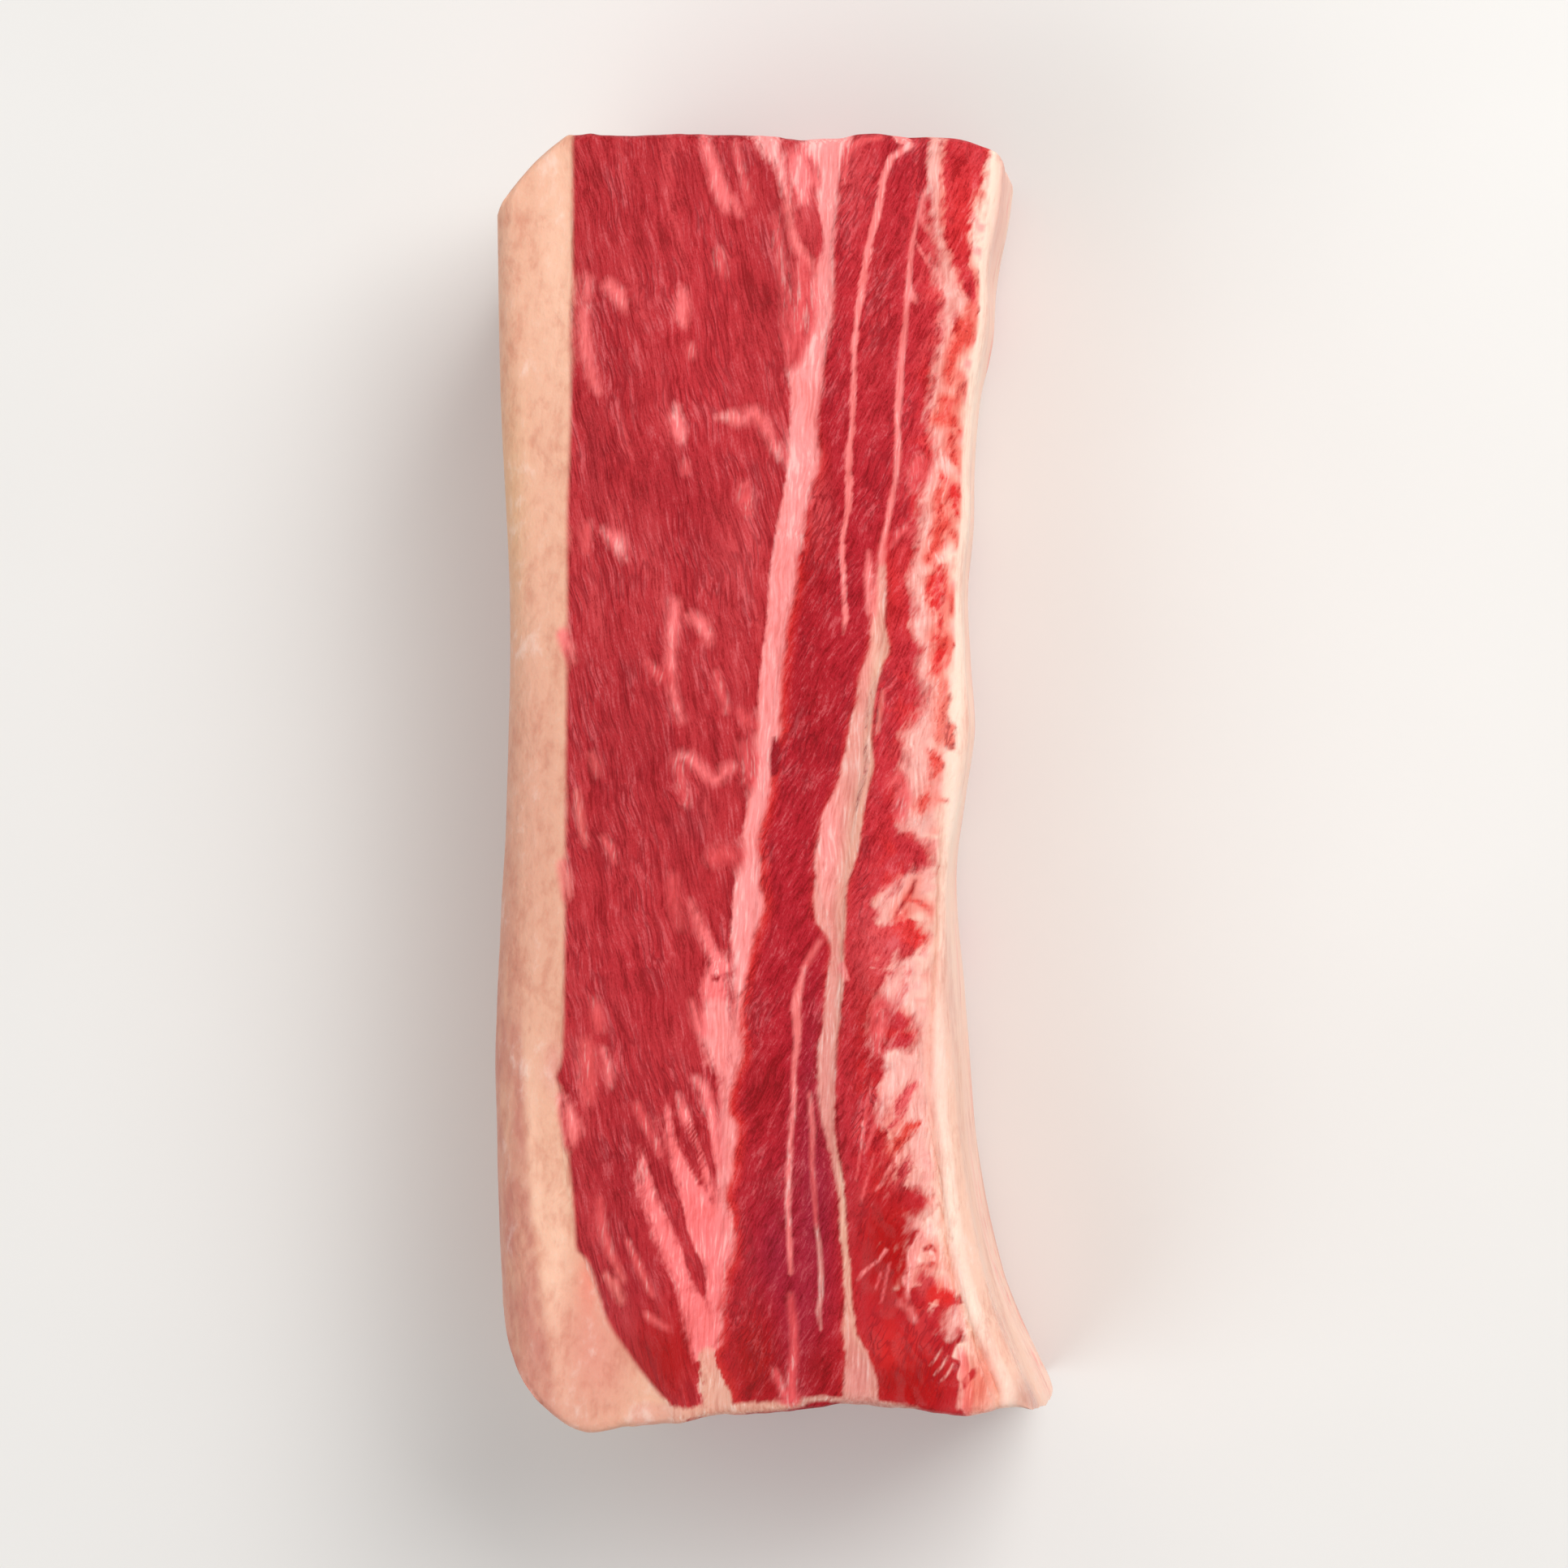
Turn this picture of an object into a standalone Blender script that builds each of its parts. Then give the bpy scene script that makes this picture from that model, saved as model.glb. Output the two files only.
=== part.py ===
"""One raw beef short rib, English cut: a length of sawn rib with its meat, lying on a cut side.

Its layers stand side by side along X and run the whole length along Y, so each shows on the top, on the
underside and at both sawn ends: fat cap, outer muscle, fat seam, inner muscle, silver band, the rib muscle
that wraps the bone, the bone itself, and the pale lining over it. +Z is up and Z = 0 is the resting face.
"""

import bisect
import math

import bmesh
import bpy
from mathutils import Vector

# Driving dimensions, in millimetres
MM = 0.001
HALF_LENGTH = 76.0
HEIGHT = 44.0
GAP = 0.3

# Rounding of the long outer edges and of the sawn ends
CAP_EDGE_TOP = 2.6
CAP_EDGE_GROWTH = 3.4
CAP_EDGE_UNDER = 3.0
LINING_EDGE = 2.0
END_EDGE = 1.2

# The two rounded corners of the fat cap, as the width and length each takes and how full its curve is
UPPER_CORNER = (8.5, 9.0, 1.2)
LOWER_CORNER = (10.5, 15.0, 1.8)

# The rib: an oval section standing on its narrow end, at mid height against the lining
BONE_MIDDLE = 21.5
BONE_HALF_HEIGHT = 14.0
BONE_HALF_THICKNESS = 6.0
BONE_FULLNESS = 2.4
BONE_PROUD = 0.6
BONE_SHOULDER = 2.5
BONE_LEVELS = (-0.985, -0.86, -0.6, -0.22, 0.22, 0.6, 0.86, 0.985)

# How far the hidden walls bow sideways between the two faces; the silver band goes round the rib
CAP_BOW = -0.6
WALL_BOW = 1.2
BAND_BOW = -6.0

# Relief of the top face
MUSCLE_CROWN = 0.9
FULL_CROWN_WIDTH = 14.0
SEAM_GROOVE = 0.5
LONG_WAVE = 0.5
RIGHT_FALL = 1.4

# Resolution
STATIONS = 33
CAP_COLUMNS = (0.14, 0.36, 0.7)
CAP_LEVELS = (1.4, 3.2, 13.0, 24.0, 33.0, 38.0, 41.0, 42.7)
PLAIN_LEVELS = (11.0, 22.0, 33.0)
BOWED_LEVELS = (4.7, 9.2, 15.5, 21.5, 27.5, 33.8, 38.3)
LINING_LEVELS = (1.1, 42.9)


def through(*points):
    """A smooth curve through (place, value) points, level past its ends, as a function of place."""
    places = [place for place, value in sorted(points)]
    values = [value for place, value in sorted(points)]
    last = len(places) - 1
    slopes = []
    for i in range(last + 1):
        low = max(i - 1, 0)
        high = min(i + 1, last)
        slopes.append((values[high] - values[low]) / (places[high] - places[low]))

    def curve(place):
        place = min(max(place, places[0]), places[last])
        i = min(bisect.bisect_right(places, place), last) - 1
        span = places[i + 1] - places[i]
        t = (place - places[i]) / span
        ease = t * t * (3 - 2 * t)
        bend = t * (1 - t) * span * ((1 - t) * slopes[i] - t * slopes[i + 1])
        return values[i] + (values[i + 1] - values[i]) * ease + bend

    return curve


# Where each wall between layers shows on the top face, X against Y, and where it comes out on the underside
cap_side = through((76, -32.2), (50, -31.9), (19, -30.8), (-9, -31.4), (-41, -32.4), (-76, -31.6))
cap_line = through((76, -23.3), (0, -23.6), (-40, -24.5), (-54, -22.4), (-64, -18.0), (-74, -11.5))
cap_under = through((76, -21.6), (30, -22.4), (-10, -21.8), (-45, -23.2), (-76, -19.5))
seam_middle = through((76, 6.6), (50, 5.2), (19, 0.7), (-20, -3.9), (-34, -5.5), (-49, -8.0), (-76, -6.2))
seam_under = through((76, 2.0), (40, 1.8), (5, -4.2), (-30, -8.6), (-76, -9.5))
seam_width = through(
    (76, 4.4), (62, 2.0), (40, 3.2), (-5, 2.2), (-28, 5.6), (-38, 2.0), (-49, 5.4), (-60, 3.0)
)
band_middle = through((76, 17.5), (45, 14.9), (22, 13.1), (-10, 7.2), (-20, 7.8), (-37, 6.6), (-70, 10.7))
band_under = through((76, 15.0), (30, 12.4), (-10, 5.6), (-40, 5.0), (-76, 9.0))
band_width = through(
    (30, 1.2), (0, 3.8), (-10, 4.2), (-20, 1.4), (-31, 2.2), (-50, 1.2), (-62, 1.4), (-72, 4.0)
)
lining_edge = through(
    (76, 27.3), (70, 26.8), (62, 25.5), (55, 25.3), (46, 23.8), (38, 23.2), (31, 23.1), (23, 22.4), (14, 22.6),
    (6, 23.1), (-2, 21.9), (-12, 20.4), (-24, 20.5), (-38, 21.4), (-47, 22.5), (-58, 24.5), (-67, 26.9),
    (-76, 30.8),
)
lining_width = through((76, 2.0), (20, 2.3), (-22, 3.8), (-40, 3.2), (-60, 2.4), (-76, 4.4))
lining_bulge = through((76, 0.7), (40, 0.5), (0, 0.5), (-20, 0.7), (-66, 0.9), (-76, 1.4))
lining_lean = through((76, 1.2), (50, 1.6), (0, 1.6), (-26, 0.0))

# The sawn ends: Y against X
upper_end = through((-24, 76.2), (-12, 75.5), (6, 75.6), (18, 75.6), (23, 75.0), (28, 73.2))
lower_end = through(
    (-20, -76.2), (-12, -74.8), (5, -72.6), (16, -73.1), (23, -74.0), (28, -72.8), (32, -74.0)
)


def wall(shown, under, bow):
    """A wall between layers: its lines on the top face and on the underside, and its bow between them."""

    def at(y, z):
        height = z / HEIGHT
        return under(y) + (shown(y) - under(y)) * height + bow * math.sin(math.pi * height)

    return at


def beside(middle, width, side):
    """The line half a layer's width to one side of its middle."""
    return lambda y: middle(y) + side * width(y) / 2


cap_outside = wall(cap_side, cap_side, CAP_BOW)
cap_inside = wall(cap_line, cap_under, WALL_BOW)
seam_left = wall(beside(seam_middle, seam_width, -1), beside(seam_under, seam_width, -1), -WALL_BOW)
seam_right = wall(beside(seam_middle, seam_width, 1), beside(seam_under, seam_width, 1), -WALL_BOW)
band_left = wall(beside(band_middle, band_width, -1), beside(band_under, band_width, -1), BAND_BOW)
band_right = wall(beside(band_middle, band_width, 1), beside(band_under, band_width, 1), BAND_BOW)


def lining_outside(y, z):
    """The lining's outer side, a little bulged, which draws in toward the underside along the upper half."""
    height = z / HEIGHT
    return lining_edge(y) + lining_bulge(y) * math.sin(math.pi * height) - lining_lean(y) * (1 - height)


def bone_line(y):
    """X of the rib's middle, a lining's width and half the rib in from the side."""
    return lining_outside(y, BONE_MIDDLE) - lining_width(y) - BONE_HALF_THICKNESS


def oval(height):
    """Half the rib's thickness at a height from -1 to 1 of its section."""
    return BONE_HALF_THICKNESS * (1 - abs(height) ** BONE_FULLNESS) ** (1 / BONE_FULLNESS)


def bone_side(side):
    """One side of the rib, -1 for the side that faces the meat and 1 for the side under the lining."""
    return lambda y, z: bone_line(y) + side * oval((z - BONE_MIDDLE) / BONE_HALF_HEIGHT)


def channel_side(side):
    """The wall that meets the rib from one side, and joins lining and rib muscle above and below it."""

    def at(y, z):
        middle = bone_line(y)
        height = (z - BONE_MIDDLE) / (BONE_HALF_HEIGHT + GAP)
        if abs(height) < 1:
            return middle + side * oval(height)
        past = abs(z - BONE_MIDDLE) - BONE_HALF_HEIGHT - GAP
        share = min(past / BONE_SHOULDER, 1)
        return middle + share * (lining_outside(y, z) - lining_width(y) - middle)

    return at


def corner_drop(inset, corner):
    """How far an end draws back near the fat cap's side."""
    width, length, fullness = corner
    if inset >= width:
        return 0
    reach = (width - inset) / width
    return length * (1 - max(1 - reach**fullness, 0) ** (1 / fullness))


def ends_at(x, y):
    """Y of the lower and the upper end at this X."""
    inset = max(x - cap_side(y), 0)
    lower = lower_end(x) + corner_drop(inset, LOWER_CORNER)
    upper = upper_end(x) - corner_drop(inset, UPPER_CORNER)
    return lower, upper


def hill(x, low, high):
    """A layer's crown: 1 in the middle, 0 at its borders, and less where the layer is narrow."""
    share = (x - low) / (high - low)
    return max(4 * share * (1 - share), 0) * min((high - low) / FULL_CROWN_WIDTH, 1)


def top_at(x, y):
    """Height of the top face: crowned muscles, a groove along the seam, and a fall to the lining."""
    cap, seam, band, edge = cap_line(y), seam_middle(y), band_middle(y), lining_edge(y)
    crowns = hill(x, cap, seam) + hill(x, seam, band) + hill(x, band, edge)
    groove = math.exp(-(((x - seam) / seam_width(y)) ** 2))
    wave = math.sin(y / 19.0 + 0.6) * math.cos(x / 15.0)
    fall = max((x - band) / (edge - band), 0) ** 2
    return HEIGHT - 1 + MUSCLE_CROWN * crowns - SEAM_GROOVE * groove + LONG_WAVE * wave - RIGHT_FALL * fall


def rounded(a, b, radius):
    """Distances from two faces that meet at an edge, moved so that the edge gets a radius."""
    p = radius - a
    q = radius - b
    if p <= 0 or q <= 0:
        return a, b
    shrink = max(p, q) / math.hypot(p, q)
    return radius - p * shrink, radius - q * shrink


def placed(x, y, z, along, proud):
    """A point of the straight-sided block, moved onto the rib's rounded and relieved form."""
    left = x - cap_outside(y, z)
    right = lining_outside(y, z) - x
    over = HEIGHT - z
    under = z
    cap_edge = CAP_EDGE_TOP + CAP_EDGE_GROWTH * (0.5 - y / (2 * HALF_LENGTH))
    new_left, over = rounded(left, over, cap_edge)
    new_left, under = rounded(new_left, under, CAP_EDGE_UNDER)
    new_right, over = rounded(right, over, LINING_EDGE)
    new_right, under = rounded(new_right, under, LINING_EDGE)
    x += (new_left - left) - (new_right - right)
    lower, upper = ends_at(x, y)
    lower -= proud
    upper += proud
    near = min(along, 1 - along) * (upper - lower)
    new_near, over = rounded(near, over, END_EDGE)
    new_near, side = rounded(new_near, new_right, END_EDGE)
    x -= side - new_right
    inward = new_near - near
    y = lower + along * (upper - lower) + (inward if along < 0.5 else -inward)
    z = under if z < HEIGHT / 2 else HEIGHT - over
    return Vector((x, y, z * top_at(x, y) / HEIGHT)) * MM


def shares(cuts, low, high):
    return [(cut - low) / (high - low) for cut in cuts]


def coloured(name, red, green, blue, roughness):
    """A Principled material, its colour given in screen values from 0 to 255."""
    material = bpy.data.materials.new(name)
    material.use_nodes = True
    shader = material.node_tree.nodes["Principled BSDF"]
    linear = [((c / 255 + 0.055) / 1.055) ** 2.4 for c in (red, green, blue)]
    shader.inputs["Base Color"].default_value = (*linear, 1.0)
    shader.inputs["Roughness"].default_value = roughness
    shader.inputs["Metallic"].default_value = 0.0
    return material


def layer(name, left, right, columns, levels, material, proud=0.0):
    """One layer: a cube cut into a grid, then stood between its two walls and shaped.

    columns are the shares of the width where it is cut, levels the heights, with the first and last its
    underside and top.
    """
    low = levels[0]
    high = levels[-1]
    length = 2 * HALF_LENGTH
    stations = [END_EDGE + i * (length - 2 * END_EDGE) / (STATIONS - 1) for i in range(STATIONS)]
    cuts = (columns, shares(stations, 0, length), shares(levels[1:-1], low, high))
    mesh = bmesh.new()
    bmesh.ops.create_cube(mesh, size=1.0)
    bmesh.ops.translate(mesh, verts=mesh.verts, vec=(0.5, 0.5, 0.5))
    for axis, places in enumerate(cuts):
        normal = Vector([float(axis == i) for i in range(3)])
        for place in places:
            everything = mesh.verts[:] + mesh.edges[:] + mesh.faces[:]
            bmesh.ops.bisect_plane(
                mesh, geom=everything, dist=1e-6, plane_co=normal * place, plane_no=normal
            )
    for vertex in mesh.verts:
        across, along, up = vertex.co
        y = (along - 0.5) * length
        z = low + up * (high - low)
        x_left = left(y, z) + GAP / 2
        x_right = right(y, z) - GAP / 2
        if left is cap_outside:
            x_left -= GAP / 2
        if right is lining_outside:
            x_right += GAP / 2
        vertex.co = placed(x_left + across * (x_right - x_left), y, z, along, proud)
    bmesh.ops.recalc_face_normals(mesh, faces=mesh.faces)
    data = bpy.data.meshes.new(name)
    mesh.to_mesh(data)
    mesh.free()
    data.materials.append(material)
    data.shade_smooth()
    data.set_sharp_from_angle(angle=math.radians(40))
    solid = bpy.data.objects.new(name, data)
    bpy.context.scene.collection.objects.link(solid)
    return solid


def main():
    for old in list(bpy.data.objects):
        bpy.data.objects.remove(old, do_unlink=True)

    meat_side = channel_side(-1)
    lining_side = channel_side(1)
    channel = [BONE_MIDDLE + (BONE_HALF_HEIGHT + GAP) * t for t in (-1.0, *BONE_LEVELS, 1.0)]
    channel = [channel[0] - BONE_SHOULDER, *channel, channel[-1] + BONE_SHOULDER]
    bone = [BONE_MIDDLE + BONE_HALF_HEIGHT * t for t in BONE_LEVELS]
    plain = (0.0, *PLAIN_LEVELS, HEIGHT)
    bowed = (0.0, *BOWED_LEVELS, HEIGHT)

    fat = coloured("fat", 232, 178, 152, 0.45)
    seam_fat = coloured("seam_fat", 250, 148, 146, 0.4)
    lean = coloured("lean", 192, 58, 66, 0.35)
    deep_lean = coloured("deep_lean", 184, 46, 56, 0.35)
    silver = coloured("silver", 238, 172, 158, 0.35)
    bone_cut = coloured("bone", 214, 190, 164, 0.55)
    lining = coloured("lining", 250, 204, 186, 0.35)

    layer("fat_cap", cap_outside, cap_inside, CAP_COLUMNS, (0.0, *CAP_LEVELS, HEIGHT), fat)
    layer("outer_muscle", cap_inside, seam_left, (0.2, 0.4, 0.6, 0.8), plain, lean)
    layer("fat_seam", seam_left, seam_right, (0.5,), plain, seam_fat)
    layer("inner_muscle", seam_right, band_left, (0.33, 0.67), bowed, deep_lean)
    layer("silver_band", band_left, band_right, (), bowed, silver)
    layer("rib_muscle", band_right, meat_side, (0.5,), (0.0, *channel, HEIGHT), deep_lean)
    layer("rib_bone", bone_side(-1), bone_side(1), (0.5,), bone, bone_cut, proud=BONE_PROUD)
    lining_levels = (0.0, LINING_LEVELS[0], *channel, LINING_LEVELS[1], HEIGHT)
    layer("lining", lining_side, lining_outside, (), lining_levels, lining)


main()
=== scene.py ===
"""The looks of one raw beef short rib, lying on a cut side.

Each layer of the frame (fat, lean, seam, lining, rib) is made again as a finely cut block between the same
walls, with the relief, marbling and colours of raw meat. Lengths are in millimetres until a mesh is written.
"""

import math

import bpy
import numpy as np
from mathutils import Matrix, Vector


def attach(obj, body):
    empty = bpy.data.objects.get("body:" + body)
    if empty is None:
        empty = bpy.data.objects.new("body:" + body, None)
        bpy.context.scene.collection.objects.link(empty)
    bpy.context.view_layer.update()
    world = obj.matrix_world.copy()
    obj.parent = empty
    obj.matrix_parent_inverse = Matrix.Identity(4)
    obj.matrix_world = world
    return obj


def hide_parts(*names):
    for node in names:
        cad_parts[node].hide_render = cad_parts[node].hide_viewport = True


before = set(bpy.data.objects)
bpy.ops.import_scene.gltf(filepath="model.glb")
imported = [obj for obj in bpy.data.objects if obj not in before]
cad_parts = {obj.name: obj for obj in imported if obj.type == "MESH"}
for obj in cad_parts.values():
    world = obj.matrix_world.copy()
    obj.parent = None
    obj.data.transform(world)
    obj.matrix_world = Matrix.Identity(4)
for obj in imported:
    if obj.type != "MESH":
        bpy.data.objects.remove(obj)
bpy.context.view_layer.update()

MM = 0.001

# The form of the frame's solids
HALF_LENGTH = 76.0
HEIGHT = 44.0
CAP_EDGE_TOP = 2.6
CAP_EDGE_GROWTH = 3.4
CAP_EDGE_UNDER = 3.0
LINING_EDGE = 2.0
END_EDGE = 1.2
UPPER_CORNER = (8.5, 9.0, 1.2)
LOWER_CORNER = (10.5, 15.0, 1.8)
BONE_MIDDLE = 21.5
BONE_HALF_HEIGHT = 14.0
BONE_HALF_THICKNESS = 6.0
BONE_FULLNESS = 2.4
BONE_PROUD = 0.6
BONE_SHOULDER = 2.5
CAP_BOW = -0.6
WALL_BOW = 1.2
BAND_BOW = -6.0
MUSCLE_CROWN = 0.9
FULL_CROWN_WIDTH = 14.0
SEAM_GROOVE = 0.5
LONG_WAVE = 0.5
WAVE_ALONG = 19.0
WAVE_ACROSS = 15.0
WAVE_START = 0.6
RIGHT_FALL = 1.4
TOP_BASE = HEIGHT - 1

# The low relief on top of that form: how strongly the outer fat and the lining are lumped, how far in from
# the side that reaches, how far the sawn ends stay back, and the sections that their relief is taken from
CAP_SIDE_RELIEF = 0.8
CAP_SIDE_REACH = 9.0
LINING_SIDE_RELIEF = 0.5
LINING_SIDE_REACH = 4.0
END_INSET = 0.25
LOWER_SECTION = -72.0
UPPER_SECTION = 74.0

# How finely the layers are cut, and how wide the closely cut border of a wall is
STEP_ACROSS = 0.25
STEP_ALONG = 0.5
SIDE_STEP = 0.6
HIDDEN_STEP = 3.5
CLOSE_BORDER = 3.0
SHARP_ANGLE = 55.0

# The camera, in metres, to the right of the rib so that it sees it a little aslant, half its angle of view
# in degrees, and its sensor's width in millimetres
CAMERA = (0.053, 0.0, 0.7)
AIM = (0.0, 0.0, 0.022)
HALF_VIEW = 7.9
SENSOR = 36.0

# The studio, in metres: the lamps (name, place, size, power, colour), what they point at, the world's light,
# and the floor with its two tones
LAMPS = (
    ("key", (0.42, 0.45, 0.72), 0.6, 7.0, (1.0, 0.985, 0.97)),
    ("fill", (-0.5, -0.35, 0.74), 0.7, 3.2, (0.98, 0.99, 1.0)),
)
LAMP_AIM = (0.0, 0.0, 0.02)
WORLD_COLOUR = (1.0, 0.99, 0.98)
WORLD_STRENGTH = 0.39
FLOOR_HALF = 3.0
FLOOR_DARK = (0.76, 0.75, 0.73)
FLOOR_LIGHT = (0.8, 0.79, 0.77)

# What a moist surface adds to every colour, from 0 to 1 of white
SHEEN = 0.015

# Borders between fat and lean: half their soft width and how far they fray, first anywhere, then in the
# feathered fat over the rib, where flecks of lean have a softness of their own
PLAIN_SOFTNESS = 0.3
PLAIN_FRAY = 0.3
FEATHER_SOFTNESS = 1.25
FEATHER_FRAY = 1.0
FLECK_SOFTNESS = 0.6

# The width up to which a mark in the feathered fat keeps its own border, how far a mark frays for each
# millimetre of its width on either side of the seam, and how wide the lining's bare rim is
FINE_MARK = 0.75
OUTER_MARK_FRAY = 0.3
INNER_MARK_FRAY = 0.16
LINING_RIM = 1.0

# What a depth in the rib's section counts for where its hard rim is told from its marrow
RIM_SCALE = 1.5

# How far the muscle fibres are turned from the rib's direction, in degrees, on either side of the fat seam
OUTER_GRAIN = -12.0
INNER_GRAIN = 27.0

# Which way the feathered fat runs, turned from the rib's direction, in radians
FLAME_TURN = 0.7


def through(*points):
    """A smooth curve through (place, value) points, level past its ends, as a function of place."""
    points = sorted(points)
    places = np.array([place for place, value in points], float)
    values = np.array([value for place, value in points], float)
    last = len(points) - 1
    low = np.maximum(np.arange(last + 1) - 1, 0)
    high = np.minimum(np.arange(last + 1) + 1, last)
    slopes = (values[high] - values[low]) / (places[high] - places[low])

    def curve(place):
        place = np.clip(place, places[0], places[last])
        i = np.clip(np.searchsorted(places, place, side="right") - 1, 0, last - 1)
        span = places[i + 1] - places[i]
        t = (place - places[i]) / span
        ease = t * t * (3 - 2 * t)
        bend = t * (1 - t) * span * ((1 - t) * slopes[i] - t * slopes[i + 1])
        return values[i] + (values[i + 1] - values[i]) * ease + bend

    return curve


# Where each wall between layers shows on the top face, X against Y, and where it comes out on the underside
cap_side = through((76, -32.2), (50, -31.9), (19, -30.8), (-9, -31.4), (-41, -32.4), (-76, -31.6))
cap_line = through((76, -23.3), (0, -23.6), (-40, -24.5), (-54, -22.4), (-64, -18.0), (-74, -11.5))
cap_under = through((76, -21.6), (30, -22.4), (-10, -21.8), (-45, -23.2), (-76, -19.5))
seam_middle = through((76, 6.6), (50, 5.2), (19, 0.7), (-20, -3.9), (-34, -5.5), (-49, -8.0), (-76, -6.2))
seam_under = through((76, 2.0), (40, 1.8), (5, -4.2), (-30, -8.6), (-76, -9.5))
seam_width = through(
    (76, 4.4), (62, 2.0), (40, 3.2), (-5, 2.2), (-28, 5.6), (-38, 2.0), (-49, 5.4), (-60, 3.0)
)
band_middle = through((76, 17.5), (45, 14.9), (22, 13.1), (-10, 7.2), (-20, 7.8), (-37, 6.6), (-70, 10.7))
band_under = through((76, 15.0), (30, 12.4), (-10, 5.6), (-40, 5.0), (-76, 9.0))
band_width = through(
    (30, 1.2), (0, 3.8), (-10, 4.2), (-20, 1.4), (-31, 2.2), (-50, 1.2), (-62, 1.4), (-72, 4.0)
)
lining_edge = through(
    (76, 27.3), (70, 26.8), (62, 25.5), (55, 25.3), (46, 23.8), (38, 23.2), (31, 23.1), (23, 22.4),
    (14, 22.6), (6, 23.1), (-2, 21.9), (-12, 20.4), (-24, 20.5), (-38, 21.4), (-47, 22.5), (-58, 24.5),
    (-67, 26.9), (-76, 30.8)
)
lining_width = through((76, 2.0), (20, 2.3), (-22, 3.8), (-40, 3.2), (-60, 2.4), (-76, 4.4))
lining_bulge = through((76, 0.7), (40, 0.5), (0, 0.5), (-20, 0.7), (-66, 0.9), (-76, 1.4))
lining_lean = through((76, 1.2), (50, 1.6), (0, 1.6), (-26, 0.0))

# The sawn ends: Y against X
upper_end = through((-24, 76.2), (-12, 75.5), (6, 75.6), (18, 75.6), (23, 75.0), (28, 73.2))
lower_end = through(
    (-20, -76.2), (-12, -74.8), (5, -72.6), (16, -73.1), (23, -74.0), (28, -72.8), (32, -74.0)
)


def wall(shown, under, bow):
    """A wall between layers: its lines on the top face and on the underside, and its bow between them."""

    def at(y, z):
        height = z / HEIGHT
        return under(y) + (shown(y) - under(y)) * height + bow * np.sin(math.pi * height)

    return at


def beside(middle, width, side):
    """The line half a layer's width to one side of its middle."""
    return lambda y: middle(y) + side * width(y) / 2


cap_outside = wall(cap_side, cap_side, CAP_BOW)
cap_inside = wall(cap_line, cap_under, WALL_BOW)
seam_left = wall(beside(seam_middle, seam_width, -1), beside(seam_under, seam_width, -1), -WALL_BOW)
seam_right = wall(beside(seam_middle, seam_width, 1), beside(seam_under, seam_width, 1), -WALL_BOW)
band_left = wall(beside(band_middle, band_width, -1), beside(band_under, band_width, -1), BAND_BOW)
band_right = wall(beside(band_middle, band_width, 1), beside(band_under, band_width, 1), BAND_BOW)


def lining_outside(y, z):
    """The lining's outer side, a little bulged, which draws in toward the underside along the upper half."""
    height = z / HEIGHT
    return lining_edge(y) + lining_bulge(y) * np.sin(math.pi * height) - lining_lean(y) * (1 - height)


def bone_line(y):
    """X of the rib's middle, a lining's width and half the rib in from the side."""
    return lining_outside(y, BONE_MIDDLE) - lining_width(y) - BONE_HALF_THICKNESS


def oval(height):
    """Half the rib's thickness at a height from -1 to 1 of its section."""
    filled = np.maximum(1 - np.abs(height) ** BONE_FULLNESS, 0)
    return BONE_HALF_THICKNESS * filled ** (1 / BONE_FULLNESS)


def bone_side(side):
    """One side of the rib, -1 for the side that faces the meat and 1 for the side under the lining."""
    return lambda y, z: bone_line(y) + side * oval((z - BONE_MIDDLE) / BONE_HALF_HEIGHT)


def channel_side(side):
    """The wall that meets the rib from one side, and joins lining and rib muscle above and below it."""

    def at(y, z):
        middle = bone_line(y)
        past = np.abs(z - BONE_MIDDLE) - BONE_HALF_HEIGHT
        share = np.clip(past / BONE_SHOULDER, 0, 1)
        outer = middle + share * (lining_outside(y, z) - lining_width(y) - middle)
        return np.where(past < 0, middle + side * oval((z - BONE_MIDDLE) / BONE_HALF_HEIGHT), outer)

    return at


def corner_drop(inset, corner):
    """How far an end draws back near the fat cap's side."""
    width, length, fullness = corner
    reach = np.clip((width - inset) / width, 0, 1)
    return length * (1 - (1 - reach**fullness) ** (1 / fullness))


def hill(x, low, high):
    """A layer's crown: 1 in the middle, 0 at its borders, and less where the layer is narrow."""
    share = (x - low) / np.maximum(high - low, 0.1)
    return np.maximum(4 * share * (1 - share), 0) * np.minimum((high - low) / FULL_CROWN_WIDTH, 1)


def rounded(a, b, radius):
    """Distances from two faces that meet at an edge, moved so that the edge gets a radius."""
    p = radius - a
    q = radius - b
    near = (p > 0) & (q > 0)
    shrink = np.where(near, np.maximum(p, q) / np.maximum(np.hypot(p, q), 1e-9), 1.0)
    return radius - p * shrink, radius - q * shrink


def noise(x, y, z, sizes, seed):
    """Smooth random values from -1 to 1, whose lumps are about sizes across."""
    cells = 48
    shift = 17.3
    lattice = np.random.default_rng(seed).uniform(-1, 1, (cells, cells, cells))
    place = [np.asarray(c) / size + shift for c, size in zip((x, y, z), sizes)]
    cell = [np.floor(c).astype(int) for c in place]
    part = [c - f for c, f in zip(place, cell)]
    part = [t * t * (3 - 2 * t) for t in part]
    total = 0
    for i in (0, 1):
        for j in (0, 1):
            for k in (0, 1):
                weight = 1.0
                for t, corner in zip(part, (i, j, k)):
                    weight = weight * (t if corner else 1 - t)
                value = lattice[(cell[0] + i) % cells, (cell[1] + j) % cells, (cell[2] + k) % cells]
                total = total + weight * value
    return total


def spun(x, y, angle):
    """Places as seen from axes that are turned by an angle about Z."""
    return x * math.cos(angle) - y * math.sin(angle), x * math.sin(angle) + y * math.cos(angle)


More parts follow.
